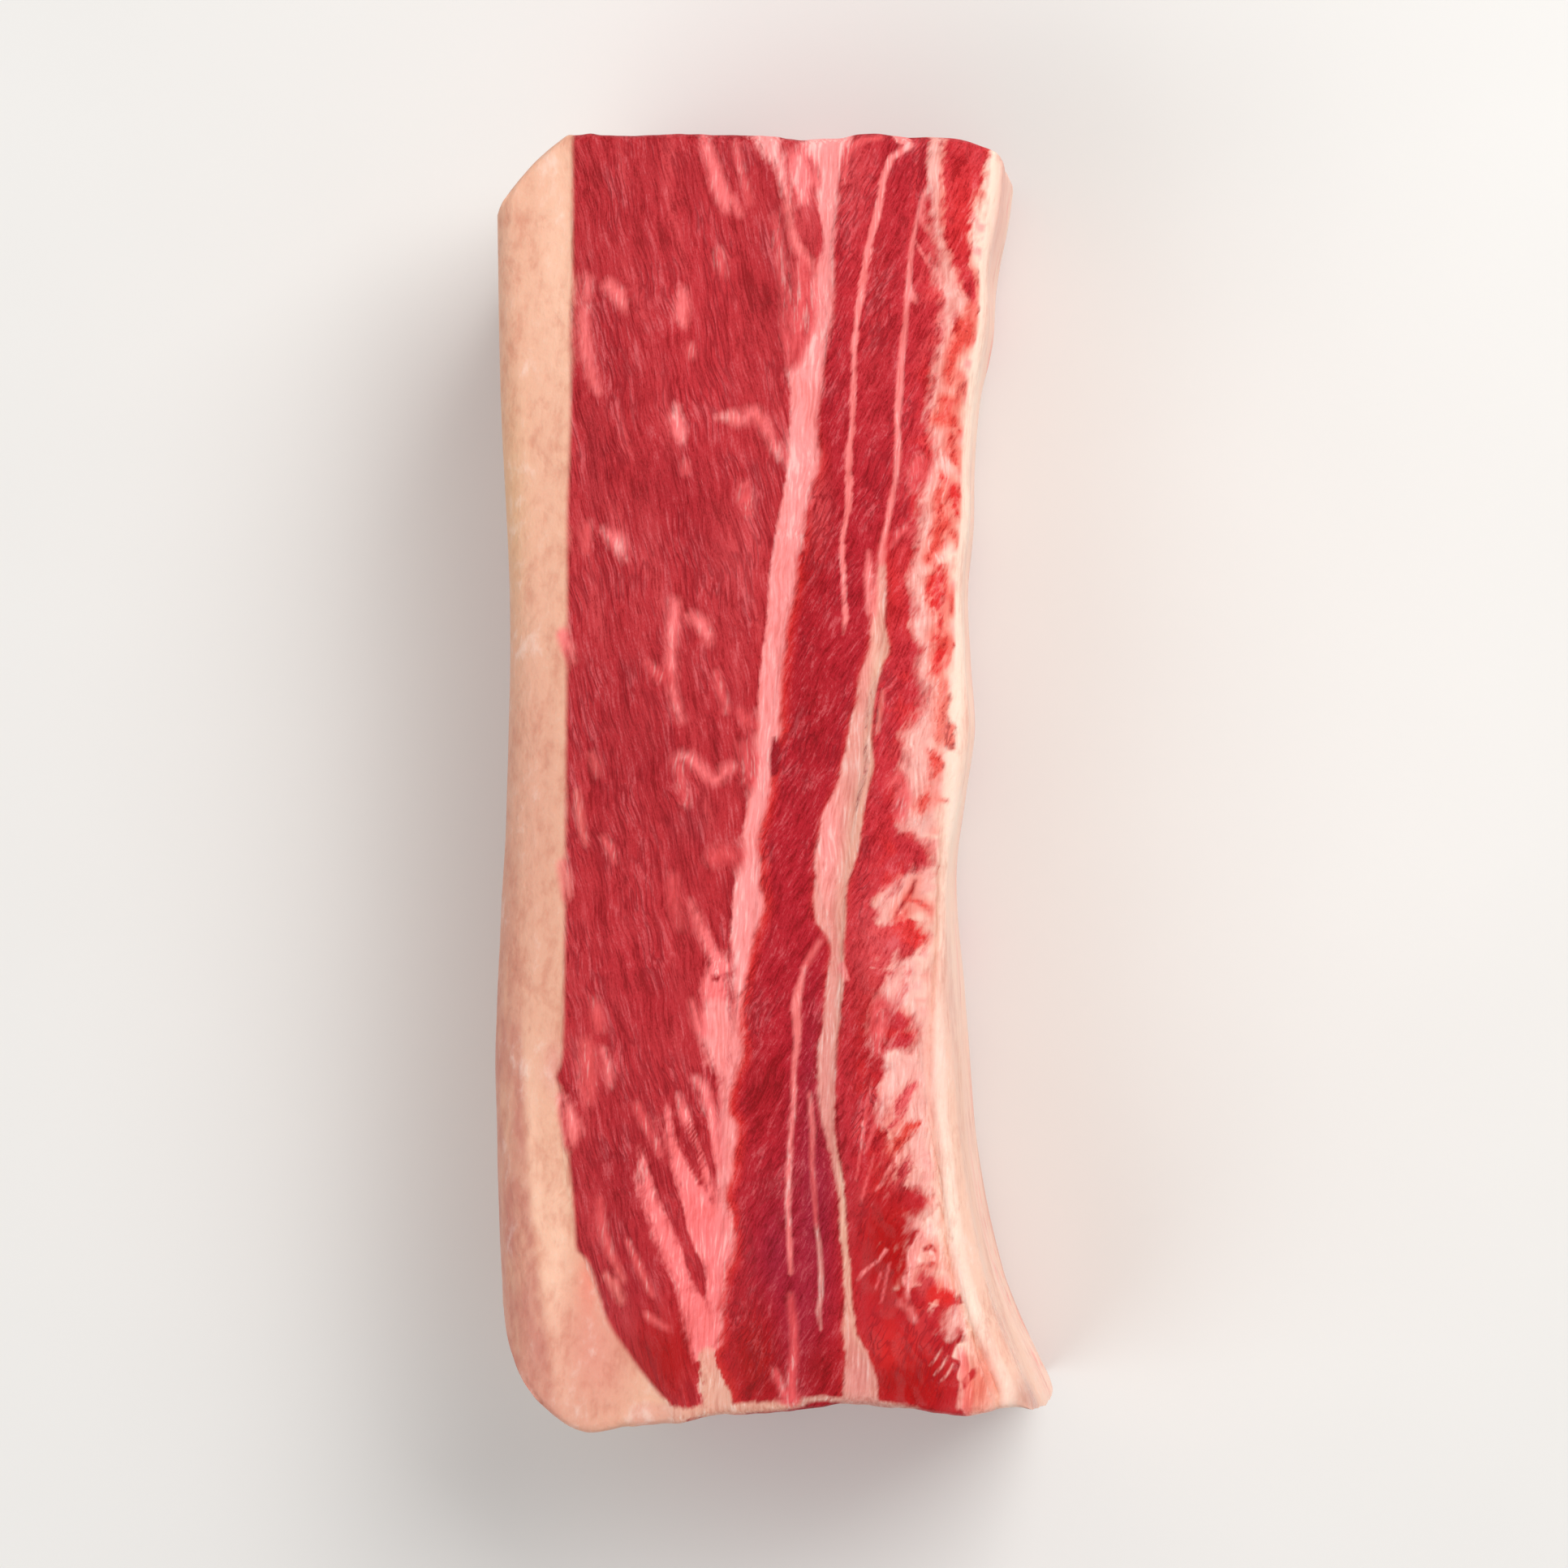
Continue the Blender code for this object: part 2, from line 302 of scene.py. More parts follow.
def smooth(value, low, high):
    """0 at low and 1 at high, level past them, with an even change between; low may be the larger."""
    t = np.clip((value - low) / (high - low), 0, 1)
    return t * t * (3 - 2 * t)


# Colours as the screen shows them, 0 to 255; ridge serves only as a painted highlight
TINTS = {
    "lean": (190, 56, 62), "inner": (186, 46, 56), "upper": (208, 60, 68), "crimson": (178, 8, 34),
    "scarlet": (230, 58, 56), "orange": (232, 84, 74), "rose": (233, 97, 100), "purple": (158, 46, 64),
    "dusk": (166, 42, 50), "wine": (150, 20, 34), "blush": (240, 122, 108), "bruise": (168, 70, 76),
    "cap": (231, 179, 153), "cap_shade": (216, 161, 139), "cap_side": (202, 134, 119),
    "straw": (226, 182, 140), "salmon": (226, 152, 135), "ivory": (246, 200, 174),
    "strand": (252, 128, 129), "seam": (253, 154, 152), "line": (246, 134, 132), "silver": (229, 155, 143),
    "veil": (222, 146, 138), "beige": (226, 168, 148), "pale": (242, 174, 164), "cream": (255, 215, 196),
    "ridge": (255, 227, 209), "tan": (226, 168, 140), "amber": (236, 120, 100), "tag": (206, 152, 138),
    "lining": (255, 214, 196), "marrow": (142, 44, 40), "marrow_light": (190, 108, 92),
    "bone_stain": (222, 172, 150), "bone": (240, 214, 194),
}

# Linear colours: what dark fibres and dull fat are multiplied by, what light ones turn to, and cracks
DARK_FIBRE = (0.6, 0.24, 0.3)
LIGHT_FIBRE = (0.93, 0.24, 0.26)
CRACK = (0.26, 0.004, 0.01)
DULL_FAT = (0.86, 0.72, 0.7)
LIGHT_FAT = (0.98, 0.83, 0.76)

# The borders that show on the top face, finer than the walls beneath: (Y, X of each border)
CAP_SHOWN = (
    (76, -23.2), (62, -23.2), (54, -23.3), (40, -23.5), (32, -23.8), (20, -23.8), (0, -24.0), (-16, -24.1),
    (-30, -24.3), (-33, -24.6), (-34.3, -25.1), (-36, -24.4), (-41.5, -24.3), (-43, -23.8), (-48, -23.2),
    (-52, -22.9), (-54.6, -22.6), (-55.5, -21.6), (-57, -20.9), (-60, -20.0), (-62, -19.4), (-64, -18.4),
    (-66, -17.0), (-68, -15.6), (-70, -14.0), (-72, -12.2), (-74, -9.6),
)
SEAM_SHOWN = (
    (76, 4.8, 9.9), (74, 3.6, 9.2), (72, 5.3, 8.4), (70, 5.6, 8.0), (68, 5.6, 7.9), (66, 6.0, 7.6),
    (64, 6.2, 7.4), (62, 6.2, 7.3), (60, 5.0, 7.4), (58, 4.6, 7.5), (54, 4.6, 7.2), (52, 4.1, 6.7),
    (50, 3.4, 6.4), (48, 2.3, 6.2), (46, 2.4, 6.0), (44, 2.5, 5.6), (42, 2.4, 5.4), (40, 2.3, 5.6),
    (38, 2.0, 5.8), (36, 1.9, 5.4), (34, 1.6, 4.6), (32, 1.2, 4.2), (28, 0.5, 3.7), (26, 0.2, 3.1),
    (24, 0.0, 3.2), (20, -0.3, 2.4), (18, -0.5, 1.9), (16, -0.7, 1.8), (12, -1.2, 1.3), (8, -1.5, 1.2),
    (6, -1.7, 1.3), (4, -1.9, 0.1), (0, -2.2, 0.0), (-4, -2.9, -0.8), (-7, -3.2, -1.6), (-9, -3.6, -1.2),
    (-12, -4.2, -1.2), (-14, -4.5, -0.7), (-16, -4.6, -1.2), (-18, -4.6, -2.0), (-22, -4.4, -2.8),
    (-26, -4.6, -3.5), (-29, -5.2, -3.4), (-32, -5.4, -3.3), (-34, -5.9, -4.2), (-38, -5.9, -4.9),
    (-40, -6.2, -3.9), (-43, -6.3, -4.2), (-46, -6.3, -4.6), (-48, -6.6, -5.3), (-50, -6.8, -4.7),
    (-55, -7.0, -4.4), (-58, -7.0, -5.6), (-62, -7.4, -5.9), (-65, -7.8, -5.9), (-67, -8.2, -6.6),
    (-70, -8.2, -5.0), (-72, -7.8, -4.4),
)
BAND_SHOWN = (
    (76, 18.0, 17.0), (66, 17.0, 16.0), (46, 15.4, 14.6), (32, 14.4, 13.6), (28, 13.2, 13.4),
    (26, 12.8, 13.5), (24, 12.4, 13.6), (22, 11.9, 13.7), (18, 11.9, 13.6), (15.5, 11.6, 14.0),
    (14, 11.0, 13.2), (12, 10.5, 12.6), (10, 10.2, 12.2), (8, 9.6, 12.0), (4, 8.9, 11.9), (2, 8.4, 12.1),
    (0, 7.9, 11.6), (-2, 7.0, 11.2), (-4, 6.1, 10.9), (-6, 5.8, 10.6), (-8, 5.3, 10.3), (-10, 5.3, 9.7),
    (-12, 5.2, 9.1), (-15, 5.1, 8.9), (-16.5, 5.8, 8.8), (-18, 6.8, 8.7), (-20, 7.2, 8.6), (-22, 6.7, 8.9),
    (-24, 6.6, 8.5), (-28, 6.2, 8.1), (-31, 5.6, 7.8), (-35, 5.6, 7.6), (-38, 5.8, 7.6), (-41, 6.4, 7.6),
    (-44, 7.2, 8.2), (-48, 8.0, 8.7), (-52, 8.1, 8.9), (-56, 8.6, 9.3), (-60, 8.8, 9.6), (-62, 8.6, 9.8),
    (-64, 8.5, 10.2), (-66, 8.8, 11.2), (-68, 8.8, 12.0), (-70, 8.5, 12.6), (-72, 8.6, 12.6),
)
FEATHER_SHOWN = (
    (76, 25.8), (72, 25.4), (68, 24.2), (66, 23.5), (62, 23.2), (60, 23.3), (57, 24.9), (54, 24.5),
    (52, 22.5), (50, 20.3), (48, 19.4), (44, 19.3), (42, 18.9), (38, 19.2), (36, 18.0), (31, 17.8),
    (27, 17.2), (24, 16.2), (22, 16.6), (20, 17.2), (18.6, 16.6), (15.6, 18.0), (13, 17.6), (12, 18.6),
    (10, 18.4), (7, 17.0), (5.6, 15.6), (3, 15.9), (1, 15.3), (-2.4, 16.1), (-4, 15.6), (-5.6, 15.6),
    (-6.6, 17.6), (-9.4, 18.9), (-10.4, 18.0), (-11, 16.6), (-12.5, 15.5), (-14, 13.2), (-15.6, 13.4),
    (-16.4, 16.0), (-18.2, 17.8), (-20.4, 15.0), (-21.3, 15.0), (-21.9, 17.2), (-22.6, 15.6), (-28, 16.4),
    (-29.4, 17.2), (-31, 16.2), (-32, 14.2), (-37, 13.8), (-39, 13.4), (-40, 12.4), (-41, 13.2),
    (-45, 13.8), (-46.4, 14.2), (-47.2, 17.4), (-48.6, 18.7), (-49.6, 17.6), (-51, 16.8), (-53, 16.7),
    (-56, 16.1), (-58.6, 16.1), (-59.2, 21.0), (-60, 21.8), (-60.8, 20.4), (-63, 20.2), (-65, 22.0),
    (-67, 22.7), (-70, 23.2), (-74, 23.2),
)

# Fat drawn in the lean, and a few painted highlights: (tint, softness of its border, then X, Y and width
# along the stroke)
FAT_MARKS = (
    ("strand", 0.98, (-7.7, 75.6, 0.6), (-7.2, 73.5, 1.0), (-6.2, 70.5, 1.4), (-5.4, 68.4, 1.6),
     (-5.0, 67.0, 0.6)),
    ("strand", 0.78, (-4.5, 68.4, 0.5), (-3.4, 66.4, 0.3)),
    ("rose", 0.78, (-4.0, 74.6, 0.5), (-3.6, 72.2, 0.4), (-2.8, 69.8, 0.4), (-2.3, 67.8, 0.3)),
    ("seam", 0.75, (-0.6, 75.8, 3.0), (0.2, 74.2, 2.3), (1.0, 72.6, 1.6), (1.6, 70.5, 1.2),
     (2.0, 68.5, 1.1)),
    ("line", 0.52, (2.0, 68.5, 1.1), (2.3, 66.2, 0.8), (2.6, 64.4, 0.8), (3.3, 62.6, 0.9), (4.6, 60.6, 1.3)),
    ("strand", 1.0, (3.4, 72.8, 2.0), (3.7, 70.5, 2.4), (3.8, 68.6, 1.0)),
    ("rose", 0.98, (0.6, 66.0, 0.3), (1.3, 61.0, 0.5), (2.0, 57.0, 0.8), (2.2, 51.0, 0.6)),
    ("rose", 1.2, (3.4, 60.5, 0.6), (3.7, 57.0, 1.8), (3.4, 53.5, 1.6), (2.6, 49.5, 0.3)),
    ("strand", 0.98, (-21.3, 59.0, 0.7), (-21.6, 56.0, 0.6), (-21.9, 53.5, 1.0), (-21.7, 51.5, 1.3),
     (-21.3, 49.0, 0.7), (-20.8, 47.5, 0.7), (-20.2, 46.0, 0.3)),
    ("strand", 0.98, (-18.9, 58.2, 1.0), (-17.8, 57.2, 1.5), (-17.2, 56.2, 0.9), (-16.9, 55.4, 0.3)),
    ("strand", 0.88, (-10.1, 57.8, 0.4), (-10.2, 56.0, 1.3), (-10.3, 54.6, 1.0), (-9.8, 53.4, 0.2)),
    ("rose", 0.98, (-5.9, 62.0, 0.5), (-5.8, 60.8, 1.1), (-5.5, 59.6, 0.4)),
    ("rose", 0.78, (-9.2, 51.0, 0.7), (-9.0, 50.0, 0.7)),
    ("strand", 0.88, (-10.9, 44.0, 0.4), (-10.8, 42.5, 1.4), (-10.6, 41.2, 1.3), (-10.2, 40.2, 0.3)),
    ("rose", 0.78, (-9.8, 37.4, 0.5), (-9.8, 36.4, 0.6)),
    ("line", 0.75, (-5.9, 42.8, 0.4), (-4.6, 42.9, 1.1), (-3.6, 42.5, 1.3), (-3.0, 42.4, 0.8)),
    ("strand", 0.98, (-3.0, 42.4, 0.6), (-2.3, 43.4, 0.9), (-1.6, 43.2, 1.3), (-0.8, 42.2, 0.9),
     (-0.1, 40.8, 0.7), (0.6, 39.2, 0.7), (1.2, 38.2, 0.3)),
    ("rose", 0.98, (-2.9, 34.8, 0.5), (-2.8, 33.2, 1.2), (-2.5, 31.8, 0.5)),
    ("rose", 0.98, (-21.4, 30.2, 0.6), (-21.5, 28.8, 0.9), (-21.6, 27.4, 0.3)),
    ("strand", 0.98, (-19.4, 29.6, 0.6), (-18.3, 28.7, 1.5), (-17.5, 27.6, 1.3), (-17.0, 26.4, 0.4)),
    ("strand", 0.98, (-10.9, 21.0, 0.9), (-11.2, 18.5, 1.1), (-11.4, 16.0, 0.8), (-11.6, 13.5, 1.1),
     (-11.4, 11.0, 0.7), (-10.8, 9.0, 0.6), (-10.2, 7.4, 0.3)),
    ("strand", 0.98, (-9.6, 19.6, 0.4), (-8.6, 19.2, 1.1), (-7.9, 18.6, 1.5), (-7.2, 17.4, 0.9),
     (-6.9, 16.4, 0.3)),
    ("rose", 0.98, (-14.0, 14.0, 0.3), (-13.0, 12.8, 1.2), (-12.4, 12.4, 0.8)),
    ("rose", 0.78, (-6.2, 12.8, 0.3), (-5.6, 10.5, 0.6), (-5.0, 8.6, 0.3)),
    ("rose", 0.88, (-3.4, 8.4, 0.4), (-2.9, 7.6, 0.9), (-2.4, 6.8, 0.5)),
    ("strand", 0.98, (-10.9, 2.6, 0.7), (-10.2, 3.2, 1.0), (-9.2, 2.8, 1.2), (-8.2, 2.0, 0.9),
     (-7.4, 1.0, 0.7), (-6.6, 0.4, 0.6), (-5.8, 0.6, 0.8), (-5.2, 1.6, 0.9), (-4.4, 2.0, 0.5)),
    ("rose", 0.98, (-10.6, 2.0, 0.9), (-10.2, 0.0, 0.7), (-9.8, -2.2, 0.5)),
    ("rose", 1.17, (-3.2, 4.6, 0.5), (-2.6, 2.6, 1.0), (-2.7, 0.5, 0.5)),
    ("rose", 0.98, (-20.8, 3.4, 0.4), (-20.4, 2.2, 0.8), (-20.2, 1.2, 0.3)),
    ("rose", 0.78, (-22.6, -1.0, 0.3), (-22.2, -4.0, 0.6), (-21.6, -7.0, 0.3)),
    ("rose", 0.78, (-19.4, -6.4, 0.4), (-18.6, -7.6, 0.7), (-18.1, -9.0, 0.3)),
    ("strand", 0.78, (-24.2, 17.4, 0.3), (-23.5, 16.0, 0.7), (-22.9, 14.4, 0.2)),
    ("strand", 0.78, (-24.2, -9.6, 0.4), (-23.8, -11.0, 0.7), (-23.6, -13.0, 0.3)),
    ("rose", 1.37, (-6.6, -8.6, 1.2), (-5.4, -8.2, 1.4), (-4.4, -8.4, 0.8)),
    ("strand", 0.78, (-9.2, -14.0, 0.4), (-8.6, -15.4, 0.9), (-8.0, -17.2, 1.0), (-7.2, -19.0, 1.0),
     (-6.2, -20.4, 1.4), (-5.4, -21.4, 1.6)),
    ("rose", 1.17, (-11.4, -11.0, 0.5), (-11.0, -14.0, 0.9), (-10.4, -16.6, 0.4)),
    ("strand", 0.85, (-6.4, -21.6, 1.6), (-6.6, -23.4, 2.6), (-6.4, -25.4, 2.6), (-5.6, -27.0, 2.2)),
    ("seam", 0.85, (-6.4, -27.6, 3.6), (-6.2, -29.0, 4.2), (-6.2, -30.4, 3.4), (-6.0, -32.0, 2.6),
     (-5.4, -33.8, 1.2)),
    ("strand", 0.8, (-9.1, -25.4, 0.3), (-8.7, -27.0, 0.8), (-8.2, -28.6, 1.0)),
    ("rose", 0.98, (-20.4, -25.6, 0.4), (-20.1, -27.4, 1.1), (-19.8, -28.6, 0.4)),
    ("rose", 1.17, (-21.4, -30.6, 1.2), (-21.0, -33.6, 1.6), (-21.2, -37.0, 0.8)),
    ("strand", 0.85, (-19.6, -31.0, 0.4), (-19.0, -32.8, 0.8), (-18.8, -34.0, 0.7), (-18.7, -35.2, 0.3)),
    ("strand", 0.85, (-24.1, -36.8, 0.4), (-23.5, -38.6, 1.2), (-22.9, -40.4, 1.6), (-23.1, -41.8, 0.7)),
    ("rose", 0.78, (-15.5, -37.6, 0.6), (-14.6, -39.6, 0.8), (-13.4, -41.6, 0.7), (-12.9, -43.2, 0.3)),
    ("strand", 0.8, (-8.7, -34.4, 0.5), (-7.6, -36.0, 1.0), (-7.0, -38.0, 1.1), (-6.6, -41.0, 1.0),
     (-6.2, -44.0, 0.8)),
    ("strand", 0.8, (-10.8, -36.6, 0.4), (-10.0, -38.5, 1.1), (-9.2, -40.5, 0.9), (-8.4, -42.8, 0.7),
     (-7.6, -45.5, 0.8), (-7.0, -48.0, 1.0)),
    ("strand", 0.8, (-12.2, -37.6, 0.3), (-11.9, -40.0, 0.8), (-11.1, -43.2, 1.4), (-9.9, -46.2, 2.5),
     (-8.6, -49.0, 3.4), (-7.6, -51.5, 4.4), (-6.9, -54.0, 3.8), (-6.4, -57.0, 2.4), (-6.6, -60.0, 1.8)),
    ("strand", 0.8, (-15.0, -42.8, 0.4), (-14.7, -45.0, 1.1), (-14.2, -47.5, 1.6), (-13.4, -50.0, 1.9),
     (-12.4, -52.6, 2.0), (-11.3, -55.2, 2.0), (-10.2, -58.0, 1.6), (-9.2, -60.5, 2.4), (-8.4, -62.6, 3.4),
     (-7.9, -65.0, 3.4), (-7.6, -66.6, 2.6)),
    ("beige", 0.3, (-7.3, -67.0, 1.4), (-7.2, -68.6, 2.2), (-6.6, -70.4, 2.8), (-6.0, -72.0, 3.0)),
    ("rose", 0.75, (-20.0, -48.6, 0.4), (-19.6, -52.0, 0.7), (-18.6, -55.0, 0.6), (-17.2, -58.0, 0.5)),
    ("rose", 0.6, (-16.6, -53.4, 0.4), (-15.2, -56.6, 0.7), (-13.8, -59.6, 0.4)),
    ("rose", 0.75, (-19.2, -57.4, 0.5), (-18.2, -58.4, 1.2), (-17.4, -60.4, 0.6)),
    ("rose", 0.6, (-14.4, -62.0, 0.4), (-13.2, -62.8, 0.7), (-12.0, -63.6, 0.4)),
    ("beige", 0.35, (-15.0, -73.8, 2.0), (-11.0, -73.7, 1.8), (-7.0, -73.4, 1.5), (-3.0, -72.9, 1.4),
     (1.0, -72.5, 1.2), (4.0, -72.0, 0.9)),
    ("tag", 0.25, (4.0, -71.9, 0.6), (6.0, -71.5, 0.7), (8.5, -71.8, 0.7), (11.0, -72.2, 1.0),
     (14.0, -72.4, 0.8), (17.0, -72.8, 0.6)),
    ("line", 0.25, (14.9, 75.8, 1.0), (15.5, 75.3, 1.7), (16.2, 74.5, 1.0), (15.4, 73.8, 0.6),
     (14.1, 72.8, 0.7), (13.4, 71.0, 0.7), (13.1, 69.4, 0.8), (12.8, 67.5, 0.9), (12.3, 65.5, 0.9),
     (11.8, 63.5, 0.8), (11.3, 61.4, 0.8), (10.7, 57.5, 0.7), (10.2, 54.0, 0.7), (9.9, 50.5, 0.7),
     (9.8, 46.0, 0.6), (9.7, 42.0, 0.6), (9.3, 38.5, 0.7), (9.3, 34.0, 0.9), (9.3, 32.4, 0.7),
     (8.9, 30.5, 0.5), (8.5, 28.5, 0.7), (8.7, 23.0, 0.5), (8.9, 19.4, 0.6), (8.6, 17.4, 0.3)),
    ("rose", 0.35, (8.7, 70.0, 0.4), (8.9, 73.0, 0.6), (9.7, 74.5, 0.7), (11.0, 75.0, 0.6),
     (13.0, 75.3, 0.5)),
    ("line", 0.25, (18.7, 69.4, 0.4), (17.9, 68.2, 0.6), (17.4, 66.6, 0.6), (17.9, 65.2, 0.5),
     (18.7, 64.4, 0.3)),
    ("line", 0.25, (17.2, 66.0, 0.4), (16.6, 63.0, 0.5), (16.3, 60.0, 0.6), (16.2, 57.6, 0.8),
     (16.0, 55.8, 0.6), (15.8, 53.5, 0.6), (15.5, 51.0, 0.7), (15.3, 48.5, 0.7), (15.2, 46.5, 0.9),
     (14.9, 42.5, 0.7), (15.0, 38.6, 0.8), (14.7, 35.5, 0.6), (14.1, 32.5, 0.7), (13.8, 30.5, 0.6),
     (13.3, 28.5, 0.7), (13.1, 26.4, 0.9)),
    ("line", 0.25, (16.2, 57.6, 0.8), (16.8, 56.6, 1.0), (17.1, 55.9, 0.3)),
    ("line", 0.2, (17.0, 63.2, 0.3), (18.2, 61.0, 0.3), (19.4, 59.6, 0.4), (20.4, 58.4, 0.5)),
    ("rose", 0.4, (11.6, 27.0, 0.4), (11.6, 24.0, 1.0), (11.7, 20.0, 0.7)),
    ("rose", 0.5, (3.9, -21.6, 0.5), (4.8, -20.0, 0.7), (5.8, -18.4, 0.5)),
    ("line", 0.35, (3.9, -21.8, 0.4), (3.4, -24.0, 0.9), (3.0, -26.2, 1.1), (3.2, -28.4, 0.9),
     (3.2, -30.0, 0.7), (2.8, -33.0, 0.5), (2.8, -37.0, 0.5), (2.4, -42.0, 0.5), (2.2, -46.0, 0.6),
     (2.1, -48.5, 0.6), (2.3, -53.0, 0.5), (2.5, -57.0, 0.4)),
    ("rose", 0.6, (2.4, -59.6, 0.5), (2.8, -63.0, 0.7), (2.9, -66.0, 0.7), (2.6, -69.0, 0.8),
     (2.6, -71.4, 1.0)),
    ("rose", 0.6, (0.6, -68.4, 0.4), (1.2, -69.8, 0.7), (1.8, -71.2, 0.9)),
    ("veil", 0.3, (5.4, -51.0, 0.3), (5.8, -54.0, 0.5), (6.0, -57.0, 0.5), (6.0, -59.6, 0.5),
     (5.7, -61.4, 0.5), (6.0, -63.6, 0.2)),
    ("rose", 0.4, (4.6, -36.0, 0.3), (5.0, -40.0, 0.6), (4.9, -44.0, 0.4), (5.2, -48.0, 0.4),
     (5.4, -51.0, 0.3)),
    ("line", 0.2, (8.6, -21.4, 0.6), (9.2, -22.9, 0.3)),
    ("pale", 0.3, (19.6, 75.2, 1.6), (19.3, 73.0, 1.9), (19.2, 71.0, 1.8), (19.5, 69.0, 1.4),
     (19.5, 67.0, 1.0), (19.5, 65.0, 1.0), (19.8, 63.5, 0.9), (20.4, 61.5, 1.3), (20.6, 60.0, 1.7),
     (20.9, 58.6, 2.3), (21.5, 57.0, 2.1), (22.2, 55.6, 2.3), (22.8, 54.6, 1.2)),
    ("pale", 0.3, (21.1, 57.0, 1.4), (20.9, 53.5, 1.3), (20.8, 51.5, 1.0), (20.2, 49.8, 1.1),
     (19.7, 48.0, 1.3), (19.4, 45.0, 1.0), (19.1, 42.6, 1.0), (19.8, 41.0, 1.8), (20.0, 39.0, 1.5),
     (19.7, 37.0, 1.4), (19.3, 35.0, 1.3), (18.6, 33.0, 1.0), (18.3, 30.0, 0.9), (17.8, 27.2, 0.9),
     (17.0, 25.0, 1.0), (17.2, 22.6, 1.3), (17.7, 20.4, 1.2), (17.6, 18.6, 1.6), (18.2, 16.6, 0.9)),
    ("rose", 0.5, (17.6, 37.4, 1.0), (17.2, 36.0, 1.2), (16.6, 34.6, 0.5)),
    ("pale", 0.4, (18.4, 14.6, 1.6), (18.0, 13.0, 1.4), (18.4, 11.0, 0.6), (18.2, 8.0, 0.7),
     (17.8, 6.0, 0.8)),
    ("rose", 0.4, (14.2, 27.6, 0.4), (15.0, 29.0, 0.9), (15.9, 29.6, 0.5)),
    ("rose", 0.4, (12.6, 6.0, 0.3), (13.0, 8.6, 0.5), (13.3, 10.8, 0.3)),
    ("pale", 0.4, (16.4, 5.6, 1.2), (16.9, 4.0, 1.8), (17.2, 2.0, 2.4), (17.0, 0.0, 2.8), (16.6, -2.0, 2.2),
     (17.0, -4.2, 2.4)),
    ("rose", 0.5, (15.0, 0.6, 0.4), (15.4, -1.6, 1.0), (15.0, -3.4, 0.4)),
    ("pale", 0.35, (17.4, -10.8, 1.4), (15.9, -12.3, 1.5), (14.4, -13.4, 1.7), (13.6, -14.9, 1.5),
     (14.2, -15.9, 0.8)),
    ("pale", 0.35, (15.6, -21.4, 1.2), (14.8, -23.4, 1.8), (13.6, -25.0, 1.6), (12.6, -26.8, 1.1),
     (11.9, -28.2, 0.5)),
    ("rose", 0.4, (13.0, -26.0, 1.0), (12.8, -28.6, 1.2), (12.6, -31.0, 0.6)),
    ("pale", 0.3, (15.2, -32.8, 1.6), (14.3, -34.5, 1.1), (13.9, -37.0, 0.8), (13.0, -39.0, 1.0),
     (12.0, -40.3, 0.4)),
    ("rose", 0.3, (12.2, -40.0, 0.4), (11.5, -41.8, 0.4), (11.1, -43.0, 0.2)),
    ("line", 0.2, (15.2, -42.0, 0.5), (14.2, -44.4, 0.5), (13.2, -46.4, 0.4), (12.4, -47.3, 0.2)),
    ("rose", 0.2, (11.9, -34.6, 0.2), (11.3, -38.0, 0.3), (10.7, -42.0, 0.3), (10.1, -46.2, 0.2)),
    ("rose", 0.2, (12.2, -43.0, 0.2), (11.2, -46.6, 0.3), (10.6, -49.0, 0.2)),
    ("line", 0.2, (13.6, -54.2, 0.4), (12.8, -55.4, 0.3), (11.6, -56.3, 0.3), (10.8, -57.0, 0.4),
     (10.1, -58.0, 0.2)),
    ("rose", 0.2, (14.0, -55.6, 0.2), (13.5, -58.2, 0.3), (13.0, -60.4, 0.2)),
    ("rose", 0.2, (13.0, -56.8, 0.2), (12.4, -58.8, 0.3)),
    ("line", 0.25, (17.4, -52.6, 0.6), (16.6, -55.0, 0.5), (16.1, -57.5, 0.5), (16.1, -59.8, 0.4)),
    ("rose", 0.6, (15.2, -60.4, 0.5), (16.4, -61.2, 0.6), (16.9, -62.4, 0.4)),
    # Painted highlights of the wet lean at the lower right, drawn as pale fat: a glossy spot, then three
    # thin glints
    ("pale", 0.4, (21.2, -61.6, 1.2), (21.2, -63.2, 1.7), (20.9, -64.6, 0.8)),
    ("pale", 0.2, (18.6, -67.8, 0.1), (19.4, -66.8, 0.2), (20.2, -65.6, 0.1)),
    ("pale", 0.2, (19.2, -68.8, 0.1), (20.2, -67.6, 0.25), (20.9, -66.4, 0.1)),
    ("pale", 0.2, (19.9, -69.6, 0.1), (20.8, -68.6, 0.2), (21.4, -67.4, 0.1)),
    ("pale", 0.25, (22.2, -66.0, 0.3), (22.4, -68.0, 0.4), (22.3, -70.4, 0.4), (22.0, -72.6, 0.5)),
    ("line", 0.2, (22.5, -66.8, 0.4), (23.0, -69.0, 0.4), (23.3, -70.8, 0.4), (22.8, -73.2, 0.5)),
)

